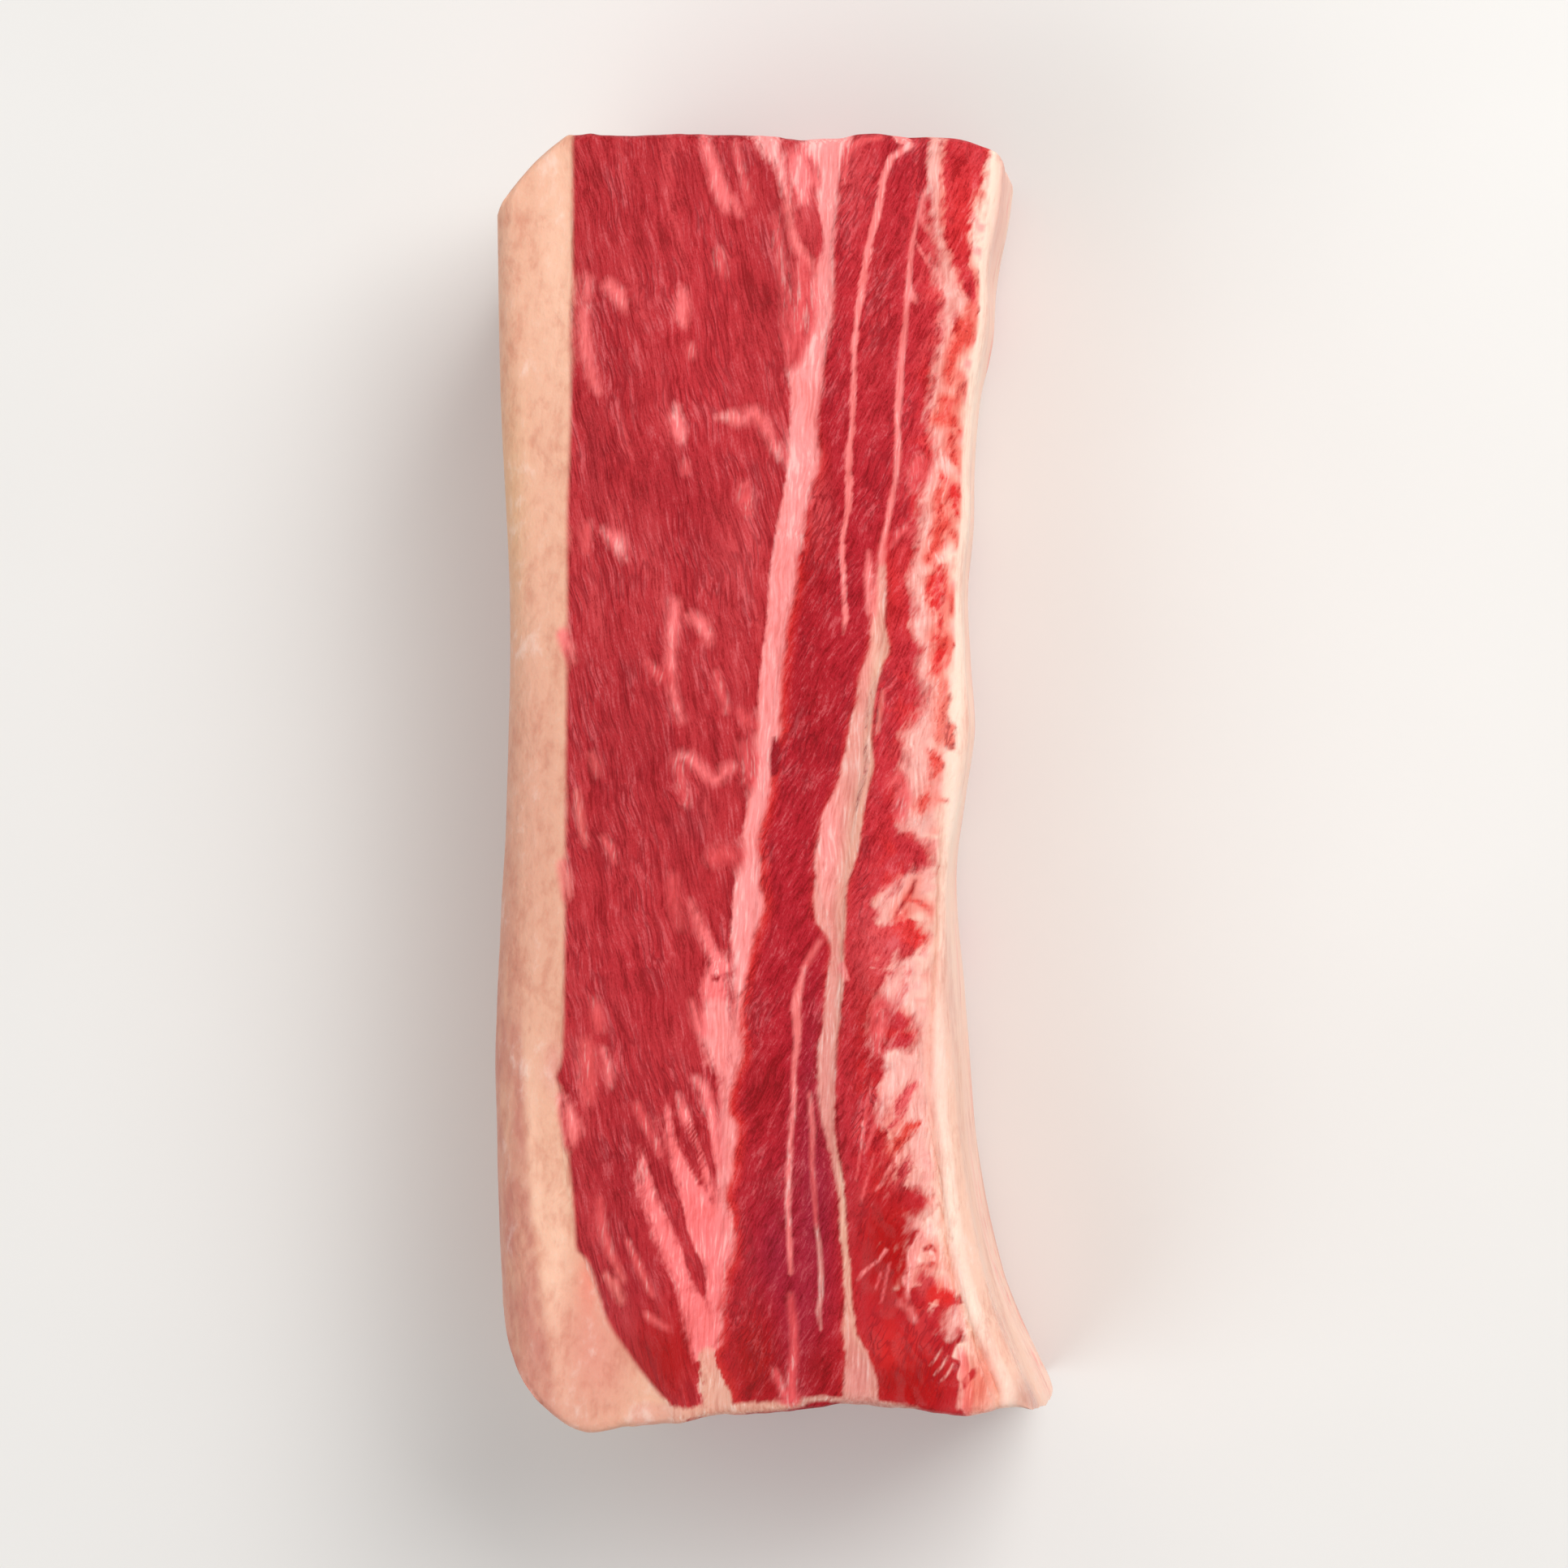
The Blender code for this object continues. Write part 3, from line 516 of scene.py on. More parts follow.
# Lean drawn in the fat, in the same way
LEAN_MARKS = (
    ("upper", 0.6, (22.9, 75.6, 3.0), (22.6, 73.6, 3.6), (22.3, 71.0, 3.6), (21.8, 68.4, 2.8),
     (21.6, 66.0, 2.5), (22.0, 64.0, 1.9), (22.3, 62.0, 1.5), (22.6, 60.4, 1.1), (23.2, 59.0, 1.6),
     (23.9, 57.7, 1.4), (24.2, 56.4, 0.7)),
    ("orange", 0.35, (23.6, 55.0, 1.0), (23.5, 53.6, 2.0), (23.0, 52.6, 2.3), (22.2, 51.4, 1.9),
     (21.5, 50.4, 1.0)),
    ("orange", 0.3, (21.2, 49.4, 0.9), (20.9, 48.0, 1.0), (20.8, 46.8, 0.5)),
    ("blush", 0.5, (22.0, 47.2, 0.8), (22.3, 46.0, 1.2), (22.0, 45.2, 0.5)),
    ("orange", 0.3, (20.3, 44.7, 0.8), (21.0, 44.2, 0.9), (20.6, 43.3, 1.5), (20.0, 42.6, 1.3)),
    ("orange", 0.3, (20.8, 44.3, 0.7), (21.7, 44.5, 0.3)),
    ("orange", 0.3, (20.6, 43.0, 1.0), (21.4, 42.2, 0.8), (22.1, 41.2, 0.4)),
    ("orange", 0.3, (20.4, 42.8, 0.8), (19.4, 42.4, 0.4)),
    ("orange", 0.3, (21.1, 40.5, 0.6), (21.2, 39.2, 1.1), (21.6, 38.2, 1.0), (22.4, 37.4, 0.8),
     (23.0, 36.7, 0.3)),
    ("scarlet", 0.3, (20.0, 35.9, 0.4), (20.9, 35.2, 0.8), (21.4, 34.0, 1.5), (21.8, 32.8, 1.9),
     (22.1, 31.9, 1.4)),
    ("orange", 0.3, (19.9, 34.0, 0.5), (19.7, 32.5, 0.8), (20.2, 31.0, 1.0), (20.7, 30.0, 1.0),
     (21.4, 29.0, 0.6), (22.1, 28.1, 0.2)),
    ("orange", 0.35, (20.1, 30.4, 1.0), (19.6, 28.6, 1.3), (19.0, 27.2, 1.1), (18.5, 26.2, 0.5)),
    ("scarlet", 0.3, (20.0, 24.9, 0.9), (19.6, 23.6, 2.1), (19.6, 21.8, 2.2), (19.7, 20.4, 1.3),
     (20.0, 19.2, 0.5), (20.0, 18.2, 0.8)),
    ("orange", 0.3, (21.2, 22.0, 0.6), (21.5, 20.8, 0.7), (21.2, 20.0, 0.3)),
    ("scarlet", 0.35, (19.4, 17.2, 1.0), (20.2, 16.2, 2.0), (19.9, 14.8, 1.8), (19.5, 13.0, 0.9)),
    ("orange", 0.3, (20.6, 16.6, 0.8), (21.9, 16.1, 0.3)),
    ("blush", 0.5, (20.3, 11.6, 0.8), (20.4, 10.2, 1.5), (20.1, 8.8, 1.0)),
    ("blush", 0.5, (20.2, 7.2, 1.6), (20.6, 6.0, 2.4), (20.8, 4.8, 1.4), (21.8, 4.0, 0.4)),
    ("orange", 0.35, (19.0, 3.4, 0.7), (19.6, 2.2, 1.4), (19.2, 1.0, 0.8)),
    ("orange", 0.35, (18.6, -0.8, 0.5), (18.3, -1.8, 0.9), (17.6, -2.8, 1.0)),
    ("blush", 0.4, (19.6, -1.8, 0.3), (20.8, -2.0, 0.5)),
    ("crimson", 0.25, (17.0, -11.2, 0.3), (16.5, -12.6, 0.5), (15.6, -13.8, 0.5), (14.9, -15.0, 0.3)),
    ("orange", 0.3, (16.2, -13.4, 0.5), (17.4, -13.8, 0.6), (18.7, -14.7, 0.2)),
    ("orange", 0.25, (16.0, -14.8, 0.3), (15.4, -15.8, 0.5)),
    ("scarlet", 0.3, (15.6, -16.6, 1.6), (16.6, -17.4, 1.8), (17.8, -18.2, 0.7)),
    ("rose", 0.4, (16.8, -35.2, 0.8), (16.0, -36.6, 1.3), (15.2, -38.2, 1.2), (14.4, -39.8, 0.7)),
    ("orange", 0.35, (17.2, -39.6, 0.8), (16.2, -40.2, 1.7), (15.4, -41.2, 1.4), (14.6, -42.4, 0.8)),
    ("rose", 0.4, (16.6, -43.2, 0.4), (15.6, -45.0, 1.0), (15.0, -46.4, 0.8)),
    ("orange", 0.25, (18.0, -54.2, 0.5), (18.8, -53.8, 0.5), (19.3, -54.4, 0.3)),
    ("orange", 0.25, (18.2, -56.2, 0.4), (19.0, -55.8, 0.6)),
    ("rose", 0.4, (17.6, -57.4, 1.2), (18.6, -58.4, 1.6), (20.0, -59.2, 1.2)),
    ("scarlet", 0.3, (19.4, -59.4, 1.2), (20.4, -59.5, 1.2), (21.4, -59.2, 0.3)),
    ("dusk", 0.3, (0.5, 5.4, 0.3), (0.5, 3.6, 0.9), (0.3, 1.6, 0.6)),
    ("lean", 0.25, (-12.8, -45.0, 0.9), (-11.6, -48.5, 0.9), (-10.5, -51.5, 0.9), (-9.4, -54.0, 0.9),
     (-8.6, -56.5, 0.8), (-7.9, -58.5, 0.7), (-7.6, -59.8, 0.2)),
    ("lean", 0.25, (-10.2, -43.0, 0.4), (-9.2, -45.2, 0.5), (-8.4, -46.8, 0.3)),
    ("lean", 0.25, (-8.0, -40.0, 0.5), (-7.4, -43.0, 0.6), (-7.1, -45.4, 0.3)),
    ("lean", 0.25, (-9.6, -39.5, 0.3), (-8.7, -42.0, 0.4), (-7.9, -44.6, 0.3)),
    ("lean", 0.3, (-6.5, -22.6, 0.7), (-6.2, -22.8, 0.6)),
    ("tag", 0.3, (12.1, 12.4, 0.1), (11.5, 9.4, 0.3), (11.2, 6.6, 0.2)),
    ("tag", 0.3, (11.1, 5.2, 0.2), (11.2, 3.6, 0.45), (11.4, 2.4, 0.5), (11.1, 1.0, 0.45),
     (10.7, -0.2, 0.4), (10.4, -1.6, 0.4), (10.1, -3.0, 0.1)),
)

# Soft changes of the tint: (tint, strength, X, Y, reach across, reach along)
LEAN_PATCHES = (
    ("upper", 0.8, 11.0, 62.0, 5.0, 22.0), ("rose", 0.5, 9.0, 72.0, 2.6, 6.0),
    ("rose", 0.5, 3.6, 70.0, 2.0, 5.0), ("dusk", 0.5, -11.0, 33.0, 5.0, 6.0),
    ("dusk", 0.35, -19.0, 8.0, 4.0, 9.0), ("dusk", 0.5, -16.0, -24.0, 5.0, 5.0),
    ("crimson", 0.9, -12.5, -67.0, 5.0, 6.0), ("dusk", 0.5, -17.0, -45.0, 5.0, 8.0),
    ("bruise", 0.2, -20.8, 37.0, 1.0, 7.0), ("bruise", 0.3, -9.6, -4.8, 2.0, 2.2),
    ("wine", 0.25, 5.0, 8.0, 3.0, 8.0), ("wine", 0.35, -1.0, -36.0, 2.4, 4.0),
    ("purple", 0.9, 5.4, -50.0, 3.0, 15.0), ("purple", 0.75, 0.6, -55.0, 2.6, 7.0),
    ("purple", 0.4, 4.8, -34.0, 1.6, 10.0), ("crimson", 1.0, -1.6, -67.0, 3.6, 6.0),
    ("crimson", 1.0, 14.0, -54.0, 5.0, 9.0), ("crimson", 1.0, 16.0, -69.0, 8.0, 6.0),
    ("crimson", 0.6, 11.6, -28.0, 2.6, 10.0), ("scarlet", 0.6, 14.2, -66.0, 3.0, 2.4),
    ("scarlet", 0.55, 22.6, 66.0, 3.0, 7.0), ("scarlet", 0.5, 14.4, 23.0, 1.6, 5.0),
    ("rose", 0.3, -4.0, 26.0, 3.0, 6.0), ("wine", 0.3, 12.6, 56.0, 1.4, 10.0),
    ("crimson", 0.5, 4.6, 29.0, 2.6, 8.0), ("dusk", 0.4, -9.6, 36.0, 4.0, 4.0),
    ("wine", 0.3, 14.6, -69.0, 3.0, 2.0), ("rose", 0.6, 12.8, -19.0, 3.0, 6.0),
    ("dusk", 0.3, -20.0, 52.0, 2.6, 8.0), ("rose", 0.5, 5.6, 32.5, 1.6, 5.0),
    ("purple", 0.6, 3.0, -64.0, 2.5, 7.0), ("dusk", 0.6, -16.0, -58.0, 3.0, 5.0),
    ("dusk", 0.5, -3.6, 72.8, 2.0, 3.0), ("wine", 0.6, 5.7, -68.3, 2.5, 4.0),
    ("wine", 0.4, -0.5, -68.3, 3.0, 5.0), ("wine", 0.3, -12.8, -68.3, 4.0, 5.0),
    ("crimson", 0.8, 17.6, -70.6, 3.0, 2.0), ("dusk", 0.6, -13.5, 2.5, 3.0, 4.0),
    ("upper", 0.4, -8.0, 50.0, 6.0, 20.0), ("upper", 0.3, -16.0, -22.0, 5.0, 10.0),
)
FAT_PATCHES = (
    ("straw", 0.6, -31.0, 32.0, 2.4, 14.0), ("cap_shade", 0.8, -28.0, -6.0, 5.0, 26.0),
    ("ivory", 0.5, -25.0, 62.0, 2.0, 16.0), ("ivory", 0.9, -25.0, -58.0, 1.3, 13.0),
    ("salmon", 0.9, -20.5, -66.0, 5.0, 8.0), ("veil", 0.6, -25.2, -33.0, 1.3, 3.0),
    ("cap_side", 0.5, -27.0, -74.0, 6.0, 3.0), ("seam", 0.6, 11.2, 20.0, 1.2, 9.0),
    ("seam", 0.8, 6.6, -6.0, 1.8, 9.0), ("ivory", 0.5, 12.4, 12.0, 0.8, 8.0),
    ("veil", 0.8, 7.0, -34.0, 2.6, 14.0), ("ivory", 0.6, 8.6, -52.0, 0.8, 12.0),
    ("veil", 0.9, 10.6, -69.0, 3.0, 4.0), ("pale", 0.9, 17.0, -38.0, 2.6, 22.0),
    ("amber", 0.9, 24.4, -70.0, 2.2, 4.6), ("pale", 0.5, 18.2, 2.0, 2.0, 10.0),
    ("line", 0.5, -7.0, -64.0, 2.4, 3.4), ("seam", 0.5, -5.2, -46.0, 1.4, 12.0),
    ("blush", 0.5, -21.4, -58.0, 1.2, 4.0), ("strand", 0.35, 3.0, 62.0, 2.4, 4.0),
    ("tag", 0.9, 30.6, -71.5, 2.2, 2.6), ("cap_side", 0.5, -28.2, -68.3, 3.0, 5.0),
    ("salmon", 0.4, 20.8, -23.0, 1.4, 8.0), ("blush", 0.4, 21.1, -58.2, 1.5, 4.0),
    ("rose", 0.6, 11.8, -38.1, 1.3, 5.0), ("strand", 0.6, -9.7, -43.1, 1.4, 3.0),
    ("tag", 0.6, 27.9, 73.4, 1.1, 1.3), ("rose", 0.6, 26.4, 75.0, 2.2, 0.7),
)


def border(table, side):
    """The line of a table's first border, for side 1, or of its second, for side 2."""
    return through(*[(row[0], row[side]) for row in table])


cap_shown = border(CAP_SHOWN, 1)
seam_shown = [border(SEAM_SHOWN, side) for side in (1, 2)]
band_shown = [border(BAND_SHOWN, side) for side in (1, 2)]
feather_shown = border(FEATHER_SHOWN, 1)

# The ridge over the rib, and the fold where the cap turns down; a highlight is painted beside each
ridge_line = through(
    (76, 25.0), (40, 22.5), (-16, 19.5), (-34, 18.5), (-46, 19.7), (-56, 21.0), (-64, 23.6), (-71, 26.6)
)
cap_ridge = through((76, -31.5), (0, -30.5), (-40, -28.6), (-52, -27.8), (-64, -26.0), (-76, -24.5))


def screen(colour):
    """A screen colour as the shader wants it, less the light that a moist surface adds."""
    linear = [c / 255 / 12.92 if c <= 10 else ((c / 255 + 0.055) / 1.055) ** 2.4 for c in colour]
    return np.maximum(np.array(linear) - SHEEN, 0.002)


def right_of(curve, x, y):
    """Distance to the right of a line that is given as X against Y."""
    slope = (curve(y + 0.2) - curve(y - 0.2)) / 0.4
    return (x - curve(y)) / np.sqrt(1 + np.minimum(slope * slope, 9.0))


def stroke_depth(x, y, points):
    """How deep a place is inside a stroke of changing width, negative outside it."""
    depth = np.full(x.shape, -9.0)
    for (x0, y0, w0), (x1, y1, w1) in zip(points, points[1:]):
        dx, dy = x1 - x0, y1 - y0
        t = np.clip(((x - x0) * dx + (y - y0) * dy) / (dx * dx + dy * dy), 0, 1)
        away = np.hypot(x - x0 - t * dx, y - y0 - t * dy)
        depth = np.maximum(depth, (w0 + (w1 - w0) * t) / 2 - away)
    return depth


class Paint:
    """What the materials read at each vertex: how deep in fat it is, and the tints of fat and lean there.

    x, y and z say where it is in the layer, and shown is X of the same spot on the top face.
    """

    def __init__(self, x, y, z, shown):
        self.x, self.y, self.z, self.shown = x, y, z, shown
        self.top = smooth(z, HEIGHT - 9, HEIGHT - 3)
        self.fat = self.borders()
        self.soft = np.full(x.shape, PLAIN_SOFTNESS)
        self.fray = np.full(x.shape, PLAIN_FRAY)
        self.lean_tint = np.tile(screen(TINTS["lean"]), (len(x), 1))
        self.fat_tint = np.tile(screen(TINTS["cap"]), (len(x), 1))
        self.zones()
        self.soft += (FEATHER_SOFTNESS - self.soft) * self.feathered
        self.fray += (FEATHER_FRAY - self.fray) * self.feathered
        self.hidden_marbling()
        for tint, soft, *points in FAT_MARKS:
            self.mark(tint, soft, points, self.fat_tint, 1)
        for tint, soft, *points in LEAN_MARKS:
            self.mark(tint, soft, points, self.lean_tint, -1)
        self.fat = np.maximum(self.fat, x - lining_edge(y) + LINING_RIM + 0.7 * self.clouds)
        self.fat = np.maximum(self.fat, self.past_ridge + 0.3 * self.clouds - 9 * smooth(y, -20, -12))
        for table, tints in ((LEAN_PATCHES, self.lean_tint), (FAT_PATCHES, self.fat_tint)):
            for tint, strength, cx, cy, across, along in table:
                away = ((shown - cx) / across) ** 2 + ((y - cy) / along) ** 2
                self.blend(tints, tint, strength * np.exp(-away) * self.top)

    def blend(self, tints, tint, share, where=slice(None)):
        """Mix a share of a tint into the tints that are there."""
        share = np.asarray(share)[:, None]
        tints[where] = tints[where] * (1 - share) + screen(TINTS[tint]) * share

    def on_lean(self, tint, share):
        self.blend(self.lean_tint, tint, share)

    def on_fat(self, tint, share):
        self.blend(self.fat_tint, tint, share)

    def borders(self):
        """Depth in the cap, the seam, the band or the feathered fat and lining, negative in lean."""
        x, y = self.shown, self.y
        seam = np.minimum(right_of(seam_shown[0], x, y), -right_of(seam_shown[1], x, y))
        band = np.minimum(right_of(band_shown[0], x, y), -right_of(band_shown[1], x, y))
        feather = right_of(feather_shown, x, y) * self.top
        inside = x - lining_edge(y) + lining_width(y)
        self.in_lining = feather + inside * (1 - self.top)
        self.in_cap = -right_of(cap_shown, x, y)
        return np.maximum(np.maximum(self.in_cap, seam), np.maximum(band, self.in_lining))

    def zones(self):
        """Tints, softness and wetness, zone by zone from the muscles and seams to the sides."""
        x, y = self.shown, self.y
        self.past_seam = right_of(seam_shown[1], x, y)
        self.past_band = right_of(band_shown[1], x, y)
        self.past_ridge = right_of(ridge_line, x, y)
        self.turned = (x > (seam_shown[0](y) + seam_shown[1](y)) / 2).astype(float)
        self.muscles()
        self.seams()
        self.cap_fold()
        self.walls()
        self.feather()
        self.haze()
        self.flames()
        self.soft += 0.25 * smooth(np.abs(self.past_seam), 1.5, 0.5)
        self.soft += 0.15 * smooth(np.abs(self.in_cap), 1.5, 0.5)
        self.fray *= 1 - 0.75 * smooth(np.abs(self.in_cap), 2.0, 1.0)
        low = smooth(y, -40, -60)
        corner = np.exp(-(((x + 12.5) / 6) ** 2) - ((y + 67) / 7) ** 2)
        wet = 0.25 + 0.75 * smooth(self.past_band, -1, 3) * low + 0.2 * low + 0.3 * corner
        self.wet = np.clip(wet, 0, 1) * self.top

    def muscles(self):
        """The inner muscles, redder than the outer one, with bright rims beside the fat."""
        past_seam = self.past_seam
        self.on_lean("inner", smooth(past_seam, -2, 0))
        self.on_lean("upper", smooth(self.past_band, -1, 1) * 0.8)
        edge = smooth(past_seam, 1.8, 0.2) * smooth(self.y, 44, 34) * smooth(past_seam, -1.0, 0.0)
        self.on_lean("scarlet", 0.75 * edge)
        rim = smooth(self.fat, -0.9, 0.1)
        self.on_lean("orange", 0.3 * rim * smooth(past_seam, -1, 0))

    def seams(self):
        """The seam, the band, the fat to the rib's ridge, and a painted highlight and painted shade past it.
        """
        x, y = self.shown, self.y
        self.on_fat("seam", smooth(x - cap_shown(y), 0.2, 1.5))
        self.on_fat("silver", smooth(self.past_seam, 1.0, 2.5))
        self.on_fat("cream", smooth(self.past_band, 1.0, 3.0))
        across = (x - band_shown[0](y)) / np.maximum(band_shown[1](y) - band_shown[0](y), 0.5)
        share = 0.8 * smooth(across, 0.45, 0.8) * smooth(across, 1.3, 1.0)
        self.on_fat("beige", share * smooth(y, 24, 14))
        ridge = self.past_ridge
        self.on_fat("tan", 0.8 * np.exp(-((ridge / 0.3) ** 2)) * smooth(y, 0, -20) * self.top)
        # A painted highlight along the fold just past the ridge
        self.on_fat("ridge", 0.9 * np.exp(-(((ridge - 1.3) / 0.8) ** 2)) * self.top)
        # Painted shade on the cream beyond that fold, in the lower half
        self.on_fat("tan", 0.3 * smooth(ridge, 1.9, 2.5) * smooth(y, -20, -40))

    def cap_fold(self):
        """The blotched side of the cap that shows in the lower half, and a painted highlight along its fold.
        """
        x, y, z = self.x, self.y, self.z
        past_fold = cap_ridge(y) - self.shown
        blotches = noise(x, y, z, (2.6, 4.0, 2.6), 71) + 0.6 * noise(x, y, z, (0.9, 1.6, 0.9), 72)
        outside = smooth(past_fold, -0.8, 0.8) * smooth(y, 10, -34) * smooth(self.in_cap, 0.5, 2.0)
        self.on_fat("cap_side", outside * self.top * np.clip(0.7 + 0.4 * blotches, 0, 1))
        # A painted highlight in ivory along the fold where the top turns down to the cap's side
        fold = np.exp(-(((past_fold + 0.9) / 0.7) ** 2)) * smooth(y, -24, -44)
        self.on_fat("ivory", 0.7 * fold * self.top)

    def walls(self):
        """The outer fat and the lining down the two sides, beyond what the top shows."""
        x, y, z = self.x, self.y, self.z
        below = smooth(z, HEIGHT - 1, HEIGHT - 7)
        cap = smooth(x - cap_outside(y, z), 8.0, 2.5) * below
        clouds = noise(x, y, z, (7.0, 13.0, 7.0), 71) + 0.5 * noise(x, y, z, (2.4, 4.4, 2.4), 74)
        self.on_fat("cap_side", cap * np.clip(0.3 + 0.4 * clouds, 0, 1))
        self.on_fat("ivory", cap * 0.5 * smooth(clouds, 0.0, -0.8))
        veins = smooth(np.abs(noise(x, y, z, (5.0, 17.0, 6.0), 73)), 0.07, 0.0)
        self.on_fat("rose", 0.3 * veins * cap)
        depth = lining_outside(y, z) - x
        lining = smooth(depth, 2.4, 0.8) * smooth(z, HEIGHT - 6, HEIGHT - 18)
        over_bone = smooth(np.abs(z - BONE_MIDDLE), BONE_HALF_HEIGHT + 4, BONE_HALF_HEIGHT - 5)
        low = smooth(z, BONE_MIDDLE + 6, BONE_MIDDLE - 2)
        share = lining * (1 - over_bone) * (0.25 + 0.75 * low)
        self.on_fat("veil", share * np.clip(0.5 + 0.5 * clouds, 0, 1))
        self.on_fat("lining", lining * over_bone * np.clip(0.8 + 0.3 * clouds, 0, 1))
        outside = smooth(depth, 0.5, 0.1) * smooth(z, HEIGHT, HEIGHT - 2)
        self.on_fat("veil", 0.5 * outside * smooth(y, 44, 72) * smooth(z, 12, 42))
        lining = lining * smooth(z, 31, 21)
        streaks = noise(x, y, z, (4.0, 16.0, 1.6), 77)
        self.on_fat("rose", lining * 0.6 * smooth(streaks + 0.5 * clouds, 0.45, 1.2))
        vessels = smooth(np.abs(noise(x, y, z, (5.0, 24.0, 5.0), 78)), 0.05, 0.0)
        self.on_fat("strand", 0.6 * vessels * lining)

    def feather(self):
        """The feathered fat over the rib: how much a place belongs to it, and its clouded tints."""
        y = self.y
        inside = smooth(self.past_ridge - 1.5 * smooth(y, 0, 30), 0.2, -1.0)
        inside = inside * smooth(lining_edge(y) - self.shown, 0.1, 0.9)
        plain = smooth(y, -61, -66)
        self.feathered = smooth(self.past_band, 1, 4) * inside * self.top * (1 - 0.85 * plain)
        self.soft += 0.5 * plain * smooth(self.past_band, 3, 6)
        self.clouds = noise(self.x, y, self.z, (1.6, 1.3, 2.0), 75)
        self.clouds = self.clouds + 0.6 * noise(self.x, y, self.z, (0.7, 0.7, 2.0), 76)
        self.on_lean("scarlet", 0.6 * self.feathered * smooth(self.clouds, -0.3, 0.7))
        self.on_fat("blush", 0.75 * self.feathered * smooth(self.clouds, 0.1, 1.0))
        self.on_fat("seam", 0.8 * self.feathered * smooth(self.clouds, 0.1, -0.7))

    def haze(self):
        """Lighter and darker streaks along the fibres of the outer muscle."""
        place = (*spun(self.x, self.y, math.radians(OUTER_GRAIN)), self.z)
        haze = noise(*place, (1.5, 9.0, 4.0), 80) + 0.6 * noise(*place, (0.8, 5.0, 2.0), 81)
        haze = haze * smooth(self.past_seam, 0, -3)
        self.on_lean("rose", 0.4 * smooth(haze, 0.2, 1.1))
        self.on_lean("dusk", 0.55 * smooth(haze, -0.2, -1.1))

    def flames(self):
        """Slanting licks of fat in the rib muscle, weaker in the calm lean of the lower end."""
        x, y = self.shown, self.y
        low = smooth(y, 4, -14)
        calm = np.exp(-(((x - 13.5) / 3.2) ** 4) - ((y + 60) / 12) ** 4)
        flames = noise(*spun(self.x, y, FLAME_TURN), self.z, (1.1, 3.6, 2.0), 79)
        flames = (flames + 0.35 * self.clouds) * smooth(self.past_band, 0.3, 2.5) * self.top
        self.on_lean("rose", (1 - calm) * (0.4 + 0.1 * low) * smooth(flames, 0.05, 0.8))
        self.fat += 1.9 * flames * low * (1 - calm) * smooth(np.abs(self.in_lining + 0.6), 4.0, 1.0)

    def hidden_marbling(self):
        """Seeded streaks of fat through the muscles, which show where nothing is drawn."""
        lumps = noise(self.x, self.y, self.z, (3.0, 12.0, 3.0), 5)
        lumps = lumps + 0.6 * noise(self.x, self.y, self.z, (1.3, 6.0, 1.3), 6)
        depth = (lumps - 0.86) * 2.2 - 3.0 * self.top
        self.on_fat("line", smooth(depth, -0.6, 0.0) * smooth(self.fat, -0.5, -1.5))
        self.fat = np.maximum(self.fat, depth)

    def mark(self, tint, soft, points, tints, sign):
        """Draw one stroke on the top face: of fat in the lean for sign 1, of lean in the fat for sign -1."""
        xs, ys, widths = zip(*points)
        margin = 2.5 + max(widths) / 2
        near = (self.shown > min(xs) - margin) & (self.shown < max(xs) + margin)
        near &= (self.y > min(ys) - margin) & (self.y < max(ys) + margin) & (self.top > 0)
        if not near.any():
            return
        near = np.flatnonzero(near)
        depth = stroke_depth(self.shown[near], self.y[near], points) - 3 * (1 - self.top[near])
        feathered = self.feathered[near] * (max(widths) > FINE_MARK)
        goal = FEATHER_SOFTNESS if sign > 0 else FLECK_SOFTNESS
        soft = soft + (goal - soft) * feathered
        if sign < 0:
            self.blend(self.fat_tint, "blush", 0.8 * smooth(depth, -1.3, 0.0) * self.feathered[near], near)
        pick = np.maximum if sign > 0 else np.minimum
        self.fat[near] = pick(self.fat[near], sign * depth)
        self.blend(tints, tint, smooth(depth, -soft - 0.4, -0.2), near)
        share = smooth(depth, -soft - 1.0, -soft)
        self.soft[near] += (soft - self.soft[near]) * share
        outer = self.turned[near].mean() < 0.5
        fray = np.clip(max(widths) * (OUTER_MARK_FRAY if outer else INNER_MARK_FRAY), 0.06, 0.8)
        fray = fray + (FEATHER_FRAY - fray) * feathered
        self.fray[near] += (fray - self.fray[near]) * share


def relief(x, y, z):
    """Small lumps of the cut face, longer than wide, as muscle bundles are."""
    long = noise(x, y, z, (4.5, 17.0, 4.0), 11)
    bundles = noise(x, y, z, (1.9, 8.0, 1.9), 12)
    fine = noise(x, y, z, (0.9, 3.2, 0.9), 13)
    return 0.22 * long + 0.16 * bundles + 0.06 * fine


